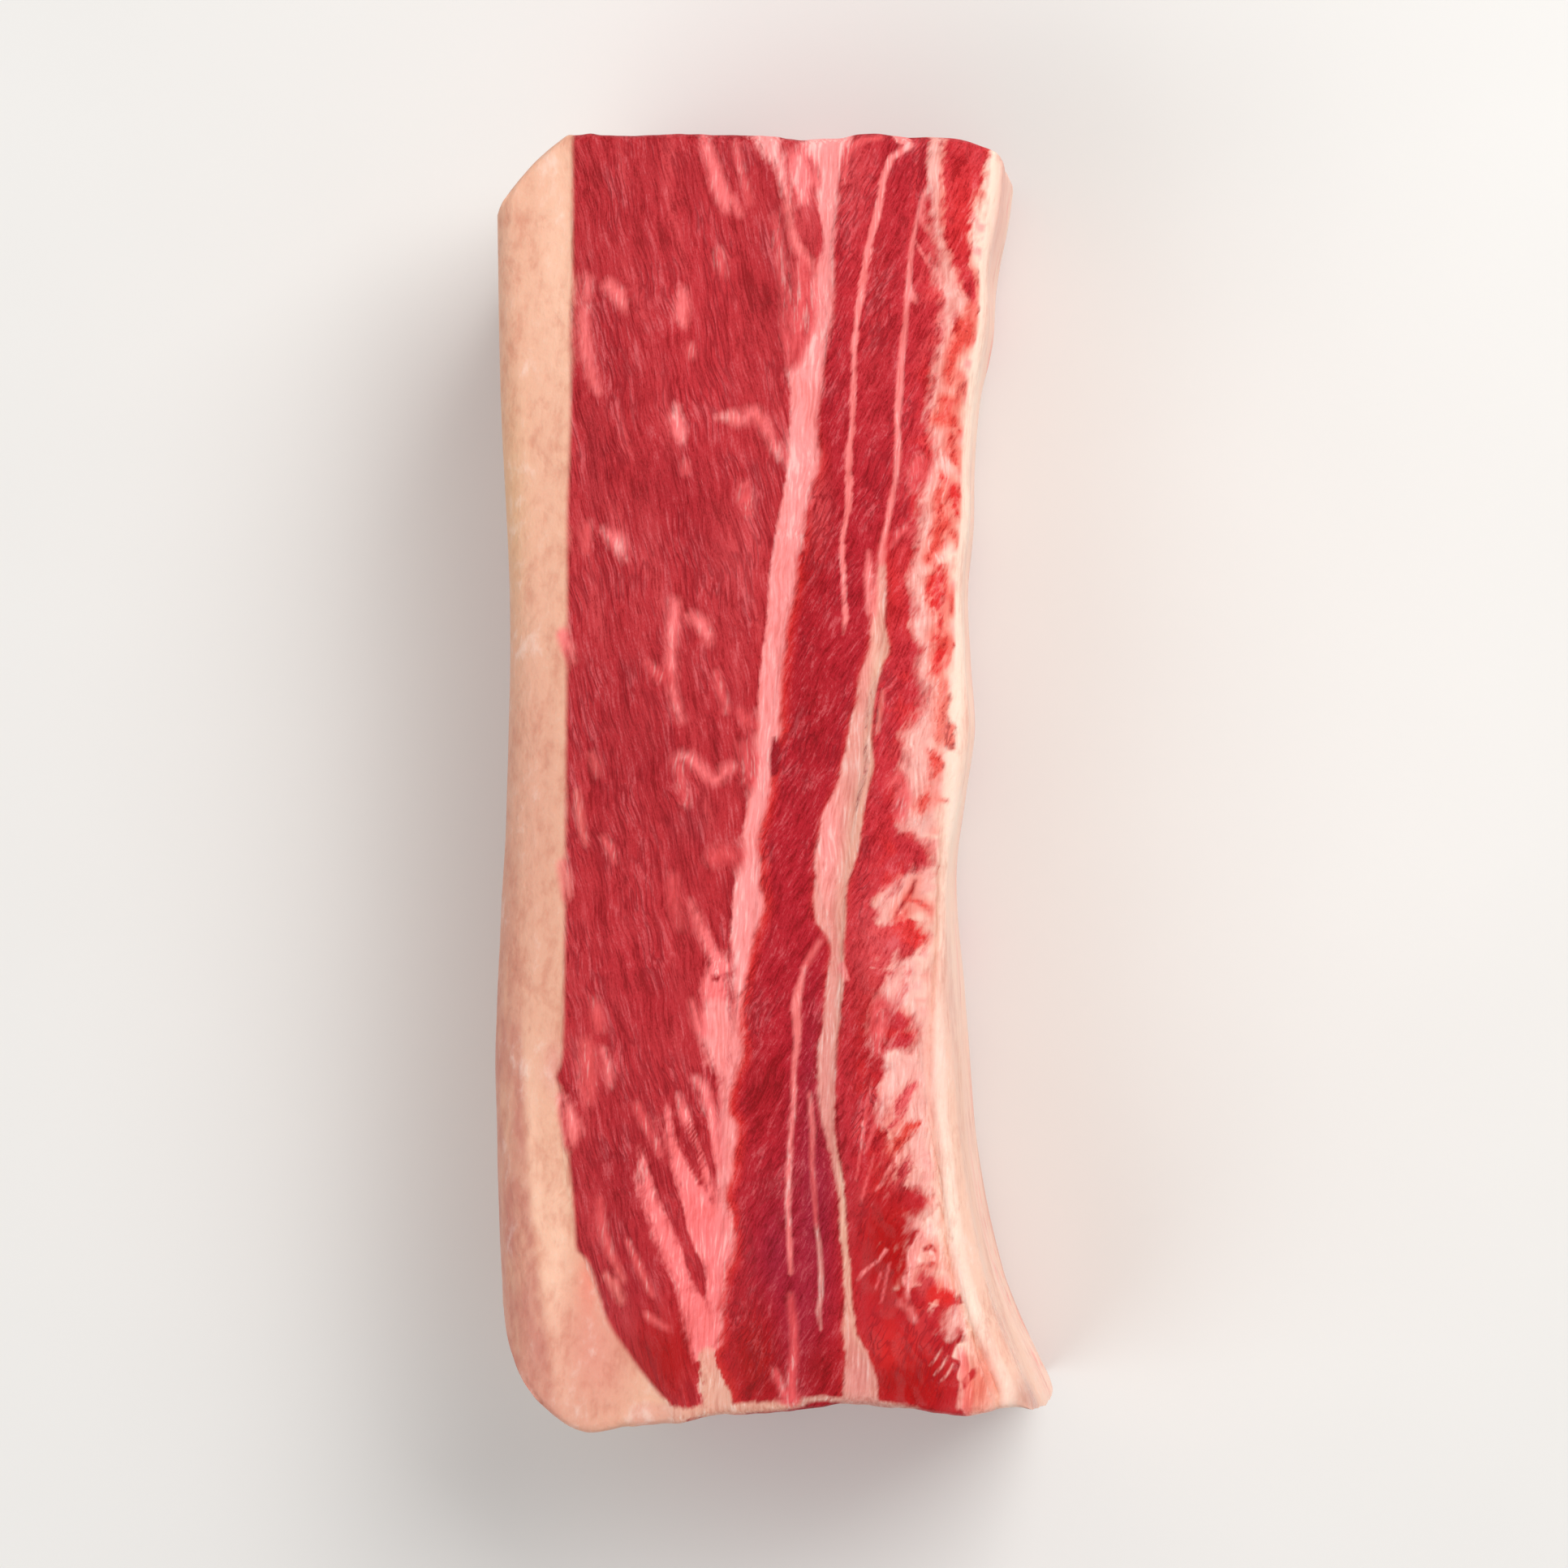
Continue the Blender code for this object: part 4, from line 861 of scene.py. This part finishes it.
def top_at(x, y):
    """Height of the top face: crowned muscles, a groove along the seam, a fall to the lining, and lumps."""
    cap, seam, band, edge = cap_line(y), seam_middle(y), band_middle(y), lining_edge(y)
    crowns = hill(x, cap, seam) + hill(x, seam, band) + hill(x, band, edge)
    groove = np.exp(-(((x - seam) / seam_width(y)) ** 2))
    wave = np.sin(y / WAVE_ALONG + WAVE_START) * np.cos(x / WAVE_ACROSS)
    fall = np.maximum((x - band) / (edge - band), 0) ** 2
    base = TOP_BASE + MUSCLE_CROWN * crowns - SEAM_GROOVE * groove + LONG_WAVE * wave - RIGHT_FALL * fall
    lean = smooth(x - cap, 0, 1.0) * smooth(feather_shown(y) - x, -1.0, 1.0)
    lumps = relief(x, y, np.full_like(x, 40.0)) * (0.35 + 0.65 * lean)
    ridge = right_of(ridge_line, x, y)
    torn = noise(x, y, np.full_like(x, 8.0), (1.7, 2.2, 2.0), 21)
    torn = torn + 0.5 * noise(x, y, np.full_like(x, 3.0), (0.8, 1.0, 1.0), 22)
    torn = torn * smooth(x - band, 1.0, 4.0) * smooth(ridge, 0.5, -0.8)
    fold = 0.5 * np.exp(-(((ridge - 1.2) / 0.8) ** 2)) - 0.35 * np.exp(-((ridge / 0.4) ** 2))
    return base + lumps + 0.3 * torn + fold * smooth(y, 6, -14)


def end_relief(x, y, z, seed):
    """How far a sawn end stands out: lean swells a little, fat and lining stay back, and all is rough."""
    low = hill(x, cap_inside(y, z), seam_left(y, z)) + hill(x, seam_right(y, z), band_left(y, z))
    rough = 0.25 * noise(x, y, z, (4.0, 9.0, 5.0), seed) + 0.12 * noise(x, y, z, (1.3, 9.0, 1.5), seed + 1)
    return (0.7 * low + rough) * (1 + 0.9 * smooth(z, HEIGHT - 1, HEIGHT - 9))


def side_relief(y, z, seed):
    """Lumps and wrinkles of the outer fat and of the lining, mostly along the rib and least at the top."""
    still = np.zeros_like(y)
    broad = noise(still, y, z, (9.0, 24.0, 13.0), seed)
    lobes = noise(still, y, z, (9.0, 8.0, 5.0), seed + 2)
    wrinkles = noise(still, y + 0.6 * z, z, (9.0, 13.0, 2.2), seed + 1)
    deep = smooth(z, HEIGHT - 1, HEIGHT - 10)
    return (0.35 + 0.75 * deep) * broad + 0.3 * deep * lobes + (0.03 + 0.13 * smooth(z, 26, 14)) * wrinkles


def ends_at(x, y, z):
    """Y of the lower and the upper end."""
    inset = np.maximum(x - cap_side(y), 0)
    lower_relief = end_relief(x, np.full_like(y, LOWER_SECTION), z, 31)
    upper_relief = end_relief(x, np.full_like(y, UPPER_SECTION), z, 41)
    lower = lower_end(x) + corner_drop(inset, LOWER_CORNER) - lower_relief
    upper = upper_end(x) - corner_drop(inset, UPPER_CORNER) + upper_relief
    return lower + END_INSET, upper - END_INSET


def placed(x, y, z, along, proud):
    """Points of the straight-sided block, moved onto the rib's rounded and relieved form.

    along runs from 0 at the lower end to 1 at the upper one; proud is how far the layer stands out of both.
    """
    left = x - cap_outside(y, z)
    right = lining_outside(y, z) - x
    over = HEIGHT - z
    under = z
    cap_edge = CAP_EDGE_TOP + CAP_EDGE_GROWTH * (0.5 - y / (2 * HALF_LENGTH))
    new_left, over = rounded(left, over, cap_edge)
    new_left, under = rounded(new_left, under, CAP_EDGE_UNDER)
    new_right, over = rounded(right, over, LINING_EDGE)
    new_right, under = rounded(new_right, under, LINING_EDGE)
    x = x + (new_left - left) - (new_right - right)
    lower, upper = ends_at(x, y, z)
    lower = lower - proud
    upper = upper + proud
    near = np.minimum(along, 1 - along) * (upper - lower)
    new_near, over = rounded(near, over, END_EDGE)
    new_near, side = rounded(new_near, new_right, END_EDGE)
    x = x - (side - new_right)
    inward = new_near - near
    near_cap = smooth(CAP_SIDE_REACH - left, 0, CAP_SIDE_REACH)
    near_lining = smooth(LINING_SIDE_REACH - right, 0, LINING_SIDE_REACH)
    x = x - side_relief(y, z, 51) * near_cap * CAP_SIDE_RELIEF
    x = x + side_relief(y, z, 61) * near_lining * LINING_SIDE_RELIEF
    y = lower + along * (upper - lower) + np.where(along < 0.5, inward, -inward)
    z = np.where(z < HEIGHT / 2, under, HEIGHT - over)
    return x, y, z * top_at(x, y) / HEIGHT


def skin(counts):
    """Corners of a box's skin cut into cells, as their grid numbers, with its quads and each quad's side."""
    shape = [count + 1 for count in counts]
    mask = np.zeros(shape, bool)
    for axis in range(3):
        ends = [slice(None)] * 3
        ends[axis] = [0, -1]
        mask[tuple(ends)] = True
    number = np.cumsum(mask.ravel()).reshape(shape) - 1
    quads = []
    sides = []
    for axis in range(3):
        for end in (0, -1):
            face = np.take(number, end, axis)
            loop = [face[:-1, :-1], face[1:, :-1], face[1:, 1:], face[:-1, 1:]]
            if (end == 0) != (axis == 1):
                loop.reverse()
            found = np.stack([corner.ravel() for corner in loop], 1)
            quads.append(found)
            sides.append(np.full(len(found), 2 * axis + (end == -1)))
    return np.argwhere(mask), np.concatenate(quads), np.concatenate(sides)


def atlas(corners, quads, sides, width, outer):
    """A texture place for each quad corner: the six sides of the block laid beside each other.

    outer says whether the left and the right wall show; a hidden wall gets a narrow strip.
    """
    across, along, up = corners
    strip = 2.0
    walls = [HEIGHT if shows else strip for shows in outer]
    length = 2 * HALF_LENGTH
    total = 2 * width + sum(walls)
    starts = {4: 0.0, 5: width, 0: 2 * width, 1: 2 * width + walls[0]}
    places = np.zeros((len(quads) * 4, 2))
    flat = quads.ravel()
    side = np.repeat(sides, 4)
    for number, start in starts.items():
        mine = side == number
        spread = across if number > 3 else up
        size = width if number > 3 else walls[number]
        places[mine, 0] = (start + spread[flat[mine]] * size) / total
        places[mine, 1] = along[flat[mine]] * length
    for number in (2, 3):
        mine = side == number
        places[mine, 0] = (number - 2 + across[flat[mine]]) / 2
        places[mine, 1] = length + up[flat[mine]] * HEIGHT
    places[:, 1] /= length + HEIGHT
    margin = 0.002
    return margin + (1 - 2 * margin) * places


def levels_for(outer):
    """Heights where a layer is cut: closely near its edges, and all the way up where a wall shows."""
    step = SIDE_STEP if outer else HIDDEN_STEP
    cuts = int((HEIGHT - 2 * CLOSE_BORDER) / step)
    middle = np.linspace(CLOSE_BORDER, HEIGHT - CLOSE_BORDER, cuts + 1)
    edge = np.arange(0.0, CLOSE_BORDER, SIDE_STEP)
    return np.concatenate([edge, middle, HEIGHT - edge[::-1]])


def channel_levels():
    """Heights for the layers that meet the rib, with cuts at its top and foot."""
    rib = BONE_MIDDLE + BONE_HALF_HEIGHT * np.sin(np.linspace(-math.pi / 2, math.pi / 2, 25))
    foot = rib[0] - np.array([BONE_SHOULDER, BONE_SHOULDER / 2])
    head = rib[-1] + np.array([BONE_SHOULDER / 2, BONE_SHOULDER])
    edge = np.arange(0.0, 2.6, SIDE_STEP)
    below = [3.6]
    above = [HEIGHT - 4.3, HEIGHT - 3.3]
    return np.concatenate([edge, below, foot, rib, head, above, HEIGHT - edge[::-1]])


def rib_levels():
    """Heights for the rib, from just over its foot to just under its top."""
    share = 0.985
    return np.linspace(-share, share, 41) * BONE_HALF_HEIGHT + BONE_MIDDLE


def bone_rim(x, y, z):
    """Depth inside the rib's section, as its material reads it."""
    height = (z - BONE_MIDDLE) / BONE_HALF_HEIGHT
    offset = (x - bone_line(y)) / BONE_HALF_THICKNESS
    filled = (np.abs(height) ** BONE_FULLNESS + np.abs(offset) ** BONE_FULLNESS) ** (1 / BONE_FULLNESS)
    return (1 - filled) * BONE_HALF_THICKNESS * RIM_SCALE


def write(mesh, name, kind, values):
    """Store values, one for each vertex, under a name that the materials read."""
    attribute = mesh.attributes.new(name, kind, "POINT")
    key = "color" if kind == "FLOAT_COLOR" else "value"
    attribute.data.foreach_set(key, np.ascontiguousarray(values, np.float32).ravel())


def opaque(tints):
    """Colours of three numbers with a fourth for full opacity."""
    return np.concatenate([tints, np.ones((len(tints), 1))], 1)


def layer(name, node, left, right, material, outer=(False, False), levels=None, proud=0.0):
    """One layer between two walls, finely cut, shaped and painted."""
    levels = levels_for(any(outer)) if levels is None else levels
    sampled = np.linspace(-70, 70, 15)
    width = float(np.mean(right(sampled, HEIGHT) - left(sampled, HEIGHT)))
    columns = np.linspace(0, 1, max(int(width / STEP_ACROSS), 6) + 1)
    end = np.array([0, 0.25, 0.6, 1.0]) * END_EDGE / (2 * HALF_LENGTH)
    stations = np.linspace(end[-1], 1 - end[-1], int(2 * HALF_LENGTH / STEP_ALONG) + 1)
    stations = np.concatenate([end[:-1], stations, 1 - end[-2::-1]])
    cuts = (columns, stations, levels)
    grid, quads, sides = skin([len(cut) - 1 for cut in cuts])
    across, along, up = (cut[grid[:, axis]] for axis, cut in enumerate(cuts))
    y = (along - 0.5) * 2 * HALF_LENGTH
    top = np.full(len(y), HEIGHT)
    x = left(y, up) + across * (right(y, up) - left(y, up))
    shown = left(y, top) + across * (right(y, top) - left(y, top))
    final = np.stack(placed(x, y, up, along, proud), 1)
    mesh = bpy.data.meshes.new(name)
    mesh.from_pydata(final * MM, [], quads.tolist())
    share = (up - levels[0]) / (levels[-1] - levels[0])
    places = atlas((across, along, share), quads, sides, width, outer)
    mesh.uv_layers.new(name="OFBake").data.foreach_set("uv", places.ravel())
    if proud:
        write(mesh, "rim", "FLOAT", bone_rim(x, y, up))
    else:
        paint = Paint(x, final[:, 1], up, shown)
        for value in ("fat", "soft", "fray", "turned", "wet"):
            write(mesh, value, "FLOAT", getattr(paint, value))
        for tint in ("lean_tint", "fat_tint"):
            write(mesh, tint, "FLOAT_COLOR", opaque(getattr(paint, tint)))
    mesh.materials.append(material)
    mesh.shade_smooth()
    mesh.set_sharp_from_angle(angle=math.radians(SHARP_ANGLE))
    piece = bpy.data.objects.new(name, mesh)
    bpy.context.scene.collection.objects.link(piece)
    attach(piece, "root")
    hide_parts(node)


class Graph:
    """A material's node tree, with a short call for each kind of node."""

    def __init__(self, name):
        self.material = bpy.data.materials.new(name)
        self.material.use_nodes = True
        self.tree = self.material.node_tree
        self.shader = self.tree.nodes["Principled BSDF"]
        place = self.add("TexCoord").outputs["Object"]
        self.place = self.vector("SCALE", place, scale=1 / MM)

    def put(self, socket, value):
        if isinstance(value, bpy.types.NodeSocket):
            self.tree.links.new(value, socket)
        else:
            socket.default_value = value

    def add(self, kind, **settings):
        node = self.tree.nodes.new("ShaderNode" + kind)
        for key, value in settings.items():
            setattr(node, key, value)
        return node

    def math(self, operation, *values):
        node = self.add("Math", operation=operation)
        for socket, value in zip(node.inputs, values):
            self.put(socket, value)
        return node.outputs[0]

    def times(self, first, second):
        return self.math("MULTIPLY", first, second)

    def vector(self, operation, *values, scale=None):
        node = self.add("VectorMath", operation=operation)
        for socket, value in zip(node.inputs, values):
            self.put(socket, value)
        if scale is not None:
            node.inputs["Scale"].default_value = scale
        return node.outputs[0]

    def read(self, name, output="Fac"):
        return self.add("Attribute", attribute_name=name).outputs[output]

    def noise(self, place, detail=2.0, roughness=0.5, output="Fac"):
        node = self.add("TexNoise")
        self.put(node.inputs["Vector"], place)
        node.inputs["Scale"].default_value = 1.0
        node.inputs["Detail"].default_value = detail
        node.inputs["Roughness"].default_value = roughness
        return node.outputs[output]

    def stretched(self, place, size, turn=0.0):
        """Coordinates in which one unit is size across, after a turn about Z."""
        turned = self.add("VectorRotate", rotation_type="Z_AXIS")
        self.put(turned.inputs["Vector"], place)
        self.put(turned.inputs["Angle"], turn)
        return self.vector("MULTIPLY", turned.outputs[0], tuple(1 / s for s in size))

    def grain(self, place, size, detail=2.0, roughness=0.5, turn=0.0):
        """Noise whose lumps are about size across."""
        return self.noise(self.stretched(place, size, turn), detail, roughness)

    def fibres(self, place, length):
        """Coordinates along the muscle fibres, in which they are longer outside the seam than inside it."""
        turned = self.read("turned")
        angle = self.number(turned, math.radians(OUTER_GRAIN), math.radians(INNER_GRAIN))
        scale = self.add("CombineXYZ")
        for socket, value in zip(scale.inputs, (1.0, self.number(turned, 1 / length, 1.0), 1.0)):
            self.put(socket, value)
        return self.vector("MULTIPLY", self.stretched(place, (1.0, 1.0, 1.0), angle), scale.outputs[0])

    def steps(self, value, low, high):
        """0 below low and 1 above high."""
        node = self.add("MapRange", interpolation_type="SMOOTHSTEP")
        self.put(node.inputs["Value"], value)
        self.put(node.inputs["From Min"], low)
        self.put(node.inputs["From Max"], high)
        return node.outputs["Result"]

    def about(self, value, amount, base=0.0):
        """base, plus the amount for each unit that a noise is above its middle."""
        return self.math("MULTIPLY_ADD", self.math("SUBTRACT", value, 0.5), amount, base)

    def blend(self, share, first, second, kind="MIX"):
        node = self.add("Mix", data_type="RGBA", blend_type=kind)
        self.put(node.inputs["Factor"], share)
        self.put(node.inputs[6], first)
        self.put(node.inputs[7], second)
        return node.outputs[2]

    def number(self, share, first, second):
        node = self.add("Mix", data_type="FLOAT")
        for socket, value in zip(node.inputs, (share, None, first, second)):
            if value is not None:
                self.put(socket, value)
        return node.outputs[0]

    def bump(self, height, strength=1.0):
        """A bump whose height is in millimetres."""
        node = self.add("Bump")
        node.inputs["Distance"].default_value = MM
        node.inputs["Strength"].default_value = strength
        self.put(node.inputs["Height"], height)
        self.put(self.shader.inputs["Normal"], node.outputs[0])

    def finish(self, colour, roughness, subsurface=0.0, coat=0.0):
        """Set the shader, with the gloss of a moist surface, and give back the material."""
        settings = {
            "Base Color": colour, "Roughness": roughness, "IOR": 1.38, "Specular IOR Level": 0.2,
            "Coat Weight": coat, "Coat Roughness": 0.16,
            "Subsurface Weight": subsurface, "Subsurface Radius": (1.0, 0.35, 0.25),
            "Subsurface Scale": 0.8 * MM,
        }
        for name, value in settings.items():
            self.put(self.shader.inputs[name], value)
        return self.material


def shade(colour):
    """A colour as a socket takes it."""
    return (*colour, 1.0)


def shaded(tint):
    """A named tint as a socket takes it."""
    return shade(screen(TINTS[tint]))


def tissue(name, mottled=0.0):
    """Lean and fat together; the border between them, its softness and the tints come from the mesh.

    mottled, from 0 to 1, says how much of the fat's streaks gives way to mottles.
    """
    graph = Graph(name)
    wobble = graph.noise(graph.vector("SCALE", graph.place, scale=0.22), 0.0, output="Color")
    shift = graph.vector("SUBTRACT", wobble, (0.5, 0.5, 0.5))
    place = graph.vector("ADD", graph.place, graph.vector("SCALE", shift, scale=1.1))
    fibres = graph.fibres(place, 2.0)
    fine = graph.grain(fibres, (0.24, 1.5, 0.24), 3.0, 0.6)
    bundles = graph.grain(fibres, (1.1, 4.5, 1.1), 2.0, 0.55)
    slits = graph.grain(fibres, (0.62, 2.6, 0.62), 1.0, 0.4)
    broad = graph.grain(place, (4.0, 10.0, 4.0), 1.0)
    line = graph.math("ABSOLUTE", graph.math("SUBTRACT", slits, 0.5))
    crack = graph.times(graph.steps(line, 0.09, 0.02), graph.steps(broad, 0.42, 0.6))
    grain = graph.grain(place, (0.16, 0.3, 0.16), 1.0, 0.6)
    value = graph.about(fine, 2.1, graph.about(bundles, 1.8, 0.5))
    value = graph.about(grain, 0.8, graph.about(broad, 0.8, value))
    wet = graph.read("wet")
    value = graph.number(graph.times(wet, 0.45), value, 0.5)

    lean = graph.read("lean_tint", "Color")
    dark = graph.blend(1.0, lean, shade(DARK_FIBRE), "MULTIPLY")
    light = graph.blend(0.42, lean, shade(LIGHT_FIBRE))
    tone = graph.blend(graph.steps(value, -0.1, 0.55), dark, lean)
    shining = graph.times(graph.steps(value, 0.5, 1.15), graph.number(wet, 1.0, 0.05))
    tone = graph.blend(shining, tone, light)
    crack = graph.times(crack, graph.steps(graph.read("fray"), 0.9, 0.5))
    tone = graph.blend(graph.times(crack, 0.5), tone, shade(CRACK))

    streaks = graph.grain(place, (0.34, 4.0, 0.34), 2.0, 0.6, 0.05)
    fat = graph.read("fat_tint", "Color")
    dull = graph.blend(1.0, fat, shade(DULL_FAT), "MULTIPLY")
    pale = graph.blend(0.34, fat, shade(LIGHT_FAT))
    fat_value = graph.about(broad, 1.0, graph.about(streaks, 2.1 * (1 - mottled), 0.48))
    if mottled:
        mottle = graph.grain(place, (1.3, 2.4, 1.3), 3.0, 0.6, 0.15)
        fat_value = graph.about(mottle, 1.3 * mottled, fat_value)
    soft_fat = graph.blend(graph.steps(fat_value, 0.05, 0.55), dull, fat)
    soft_fat = graph.blend(graph.steps(fat_value, 0.55, 1.0), soft_fat, pale)

    teeth = graph.grain(place, (0.8, 1.8, 0.9), 2.0, 0.6, FLAME_TURN)
    reach = graph.times(graph.read("fray"), 2.0)
    edge = graph.math("MULTIPLY_ADD", graph.math("SUBTRACT", teeth, 0.5), reach, graph.read("fat"))
    strands = graph.about(fine, 0.5, graph.about(bundles, 0.9))
    edge = graph.math("MULTIPLY_ADD", strands, reach, edge)
    soft = graph.read("soft")
    fatty = graph.steps(edge, graph.times(soft, -1.0), soft)
    colour = graph.blend(fatty, tone, soft_fat)

    height = graph.about(fine, 0.16)
    height = graph.about(grain, 0.05, height)
    height = graph.math("MULTIPLY_ADD", value, 0.10, height)
    height = graph.math("MULTIPLY_ADD", crack, -0.10, height)
    height = graph.times(height, graph.number(wet, 1.0, 0.5))
    ripple = graph.about(teeth, 0.25 - 0.15 * mottled, graph.about(streaks, 0.08 - 0.06 * mottled))
    if mottled:
        ripple = graph.about(mottle, 0.4 * mottled**2, ripple)
    height = graph.math("ADD", graph.number(fatty, height, ripple), graph.times(fatty, 0.06))
    graph.bump(height, 0.75)
    roughness = graph.about(broad, 0.4, graph.number(wet, 0.5, 0.3))
    return graph.finish(colour, roughness, 0.15, graph.times(wet, 0.12))


def sawn_bone(name):
    """A sawn rib: a pale hard rim round red spongy marrow, told apart by the attribute rim."""
    graph = Graph(name)
    pores = graph.add("TexVoronoi", feature="F1")
    wobble = graph.noise(graph.vector("SCALE", graph.place, scale=0.6), output="Color")
    shift = graph.vector("SCALE", wobble, scale=1.2)
    graph.put(pores.inputs["Vector"], graph.vector("ADD", graph.place, shift))
    pores.inputs["Scale"].default_value = 1.7
    cells = graph.steps(pores.outputs["Distance"], 0.15, 0.8)
    marrow = graph.blend(cells, shaded("marrow"), shaded("marrow_light"))
    stain = graph.noise(graph.vector("SCALE", graph.place, scale=0.35), 3.0)
    hard = graph.blend(graph.steps(stain, 0.35, 0.65), shaded("bone_stain"), shaded("bone"))
    edge = graph.about(graph.noise(graph.place), 1.4, graph.read("rim"))
    colour = graph.blend(graph.steps(edge, 1.4, 2.2), hard, marrow)
    graph.bump(graph.times(cells, 0.3))
    return graph.finish(colour, 0.5, 0.1)


meat = tissue("meat_and_fat")
cap_fat = tissue("outer_fat", 0.9)
membrane = tissue("lining_fat", 0.6)
layer("fat_cap_skin", "fat_cap", cap_outside, cap_inside, cap_fat, outer=(True, False))
layer("outer_muscle_meat", "outer_muscle", cap_inside, seam_left, meat)
layer("fat_seam_strip", "fat_seam", seam_left, seam_right, meat)
layer("inner_muscle_meat", "inner_muscle", seam_right, band_left, meat)
layer("silver_band_strip", "silver_band", band_left, band_right, meat)
layer(
    "rib_muscle_meat", "rib_muscle", band_right, channel_side(-1), meat,
    levels=channel_levels(),
)
layer(
    "lining_membrane", "lining", channel_side(1), lining_outside, membrane,
    outer=(False, True), levels=channel_levels(),
)
layer(
    "rib_bone_sawn", "rib_bone", bone_side(-1), bone_side(1), sawn_bone("sawn_bone"),
    levels=rib_levels(), proud=BONE_PROUD,
)


def floor():
    """A plain pale floor, larger than any view of the rib."""
    mesh = bpy.data.meshes.new("floor")
    corners = [(x * FLOOR_HALF, y * FLOOR_HALF, 0) for x, y in ((-1, -1), (1, -1), (1, 1), (-1, 1))]
    mesh.from_pydata(corners, [], [(0, 1, 2, 3)])
    graph = Graph("floor_paint")
    tint = graph.noise(graph.vector("SCALE", graph.place, scale=0.02), 2.0)
    colour = graph.blend(tint, shade(FLOOR_DARK), shade(FLOOR_LIGHT))
    graph.finish(colour, 0.7)
    mesh.materials.append(graph.material)
    plane = bpy.data.objects.new("floor", mesh)
    bpy.context.scene.collection.objects.link(plane)


def lamp(name, place, size, power, colour):
    """A square lamp that points at the rib."""
    light = bpy.data.lights.new(name, "AREA")
    light.size = size
    light.energy = power
    light.color = colour
    lamp_object = bpy.data.objects.new(name, light)
    lamp_object.location = place
    lamp_object.rotation_euler = (Vector(LAMP_AIM) - Vector(place)).to_track_quat("-Z", "Y").to_euler()
    bpy.context.scene.collection.objects.link(lamp_object)


def studio():
    """The world's light, the lamps, and how the render shows its colours."""
    scene = bpy.context.scene
    scene.view_settings.view_transform = "Standard"
    scene.world = bpy.data.worlds.new("studio")
    scene.world.use_nodes = True
    background = scene.world.node_tree.nodes["Background"].inputs
    background["Color"].default_value = shade(WORLD_COLOUR)
    background["Strength"].default_value = WORLD_STRENGTH
    for settings in LAMPS:
        lamp(*settings)


def camera():
    """The camera, with the rib's length upright in its picture."""
    data = bpy.data.cameras.new("camera")
    data.sensor_width = SENSOR
    data.lens = SENSOR / 2 / math.tan(math.radians(HALF_VIEW))
    back = (Vector(CAMERA) - Vector(AIM)).normalized()
    right = Vector((0.0, 1.0, 0.0)).cross(back).normalized()
    camera_object = bpy.data.objects.new("camera", data)
    camera_object.location = CAMERA
    camera_object.rotation_euler = Matrix((right, back.cross(right), back)).transposed().to_euler()
    bpy.context.scene.collection.objects.link(camera_object)
    bpy.context.scene.camera = camera_object


floor()
studio()
camera()
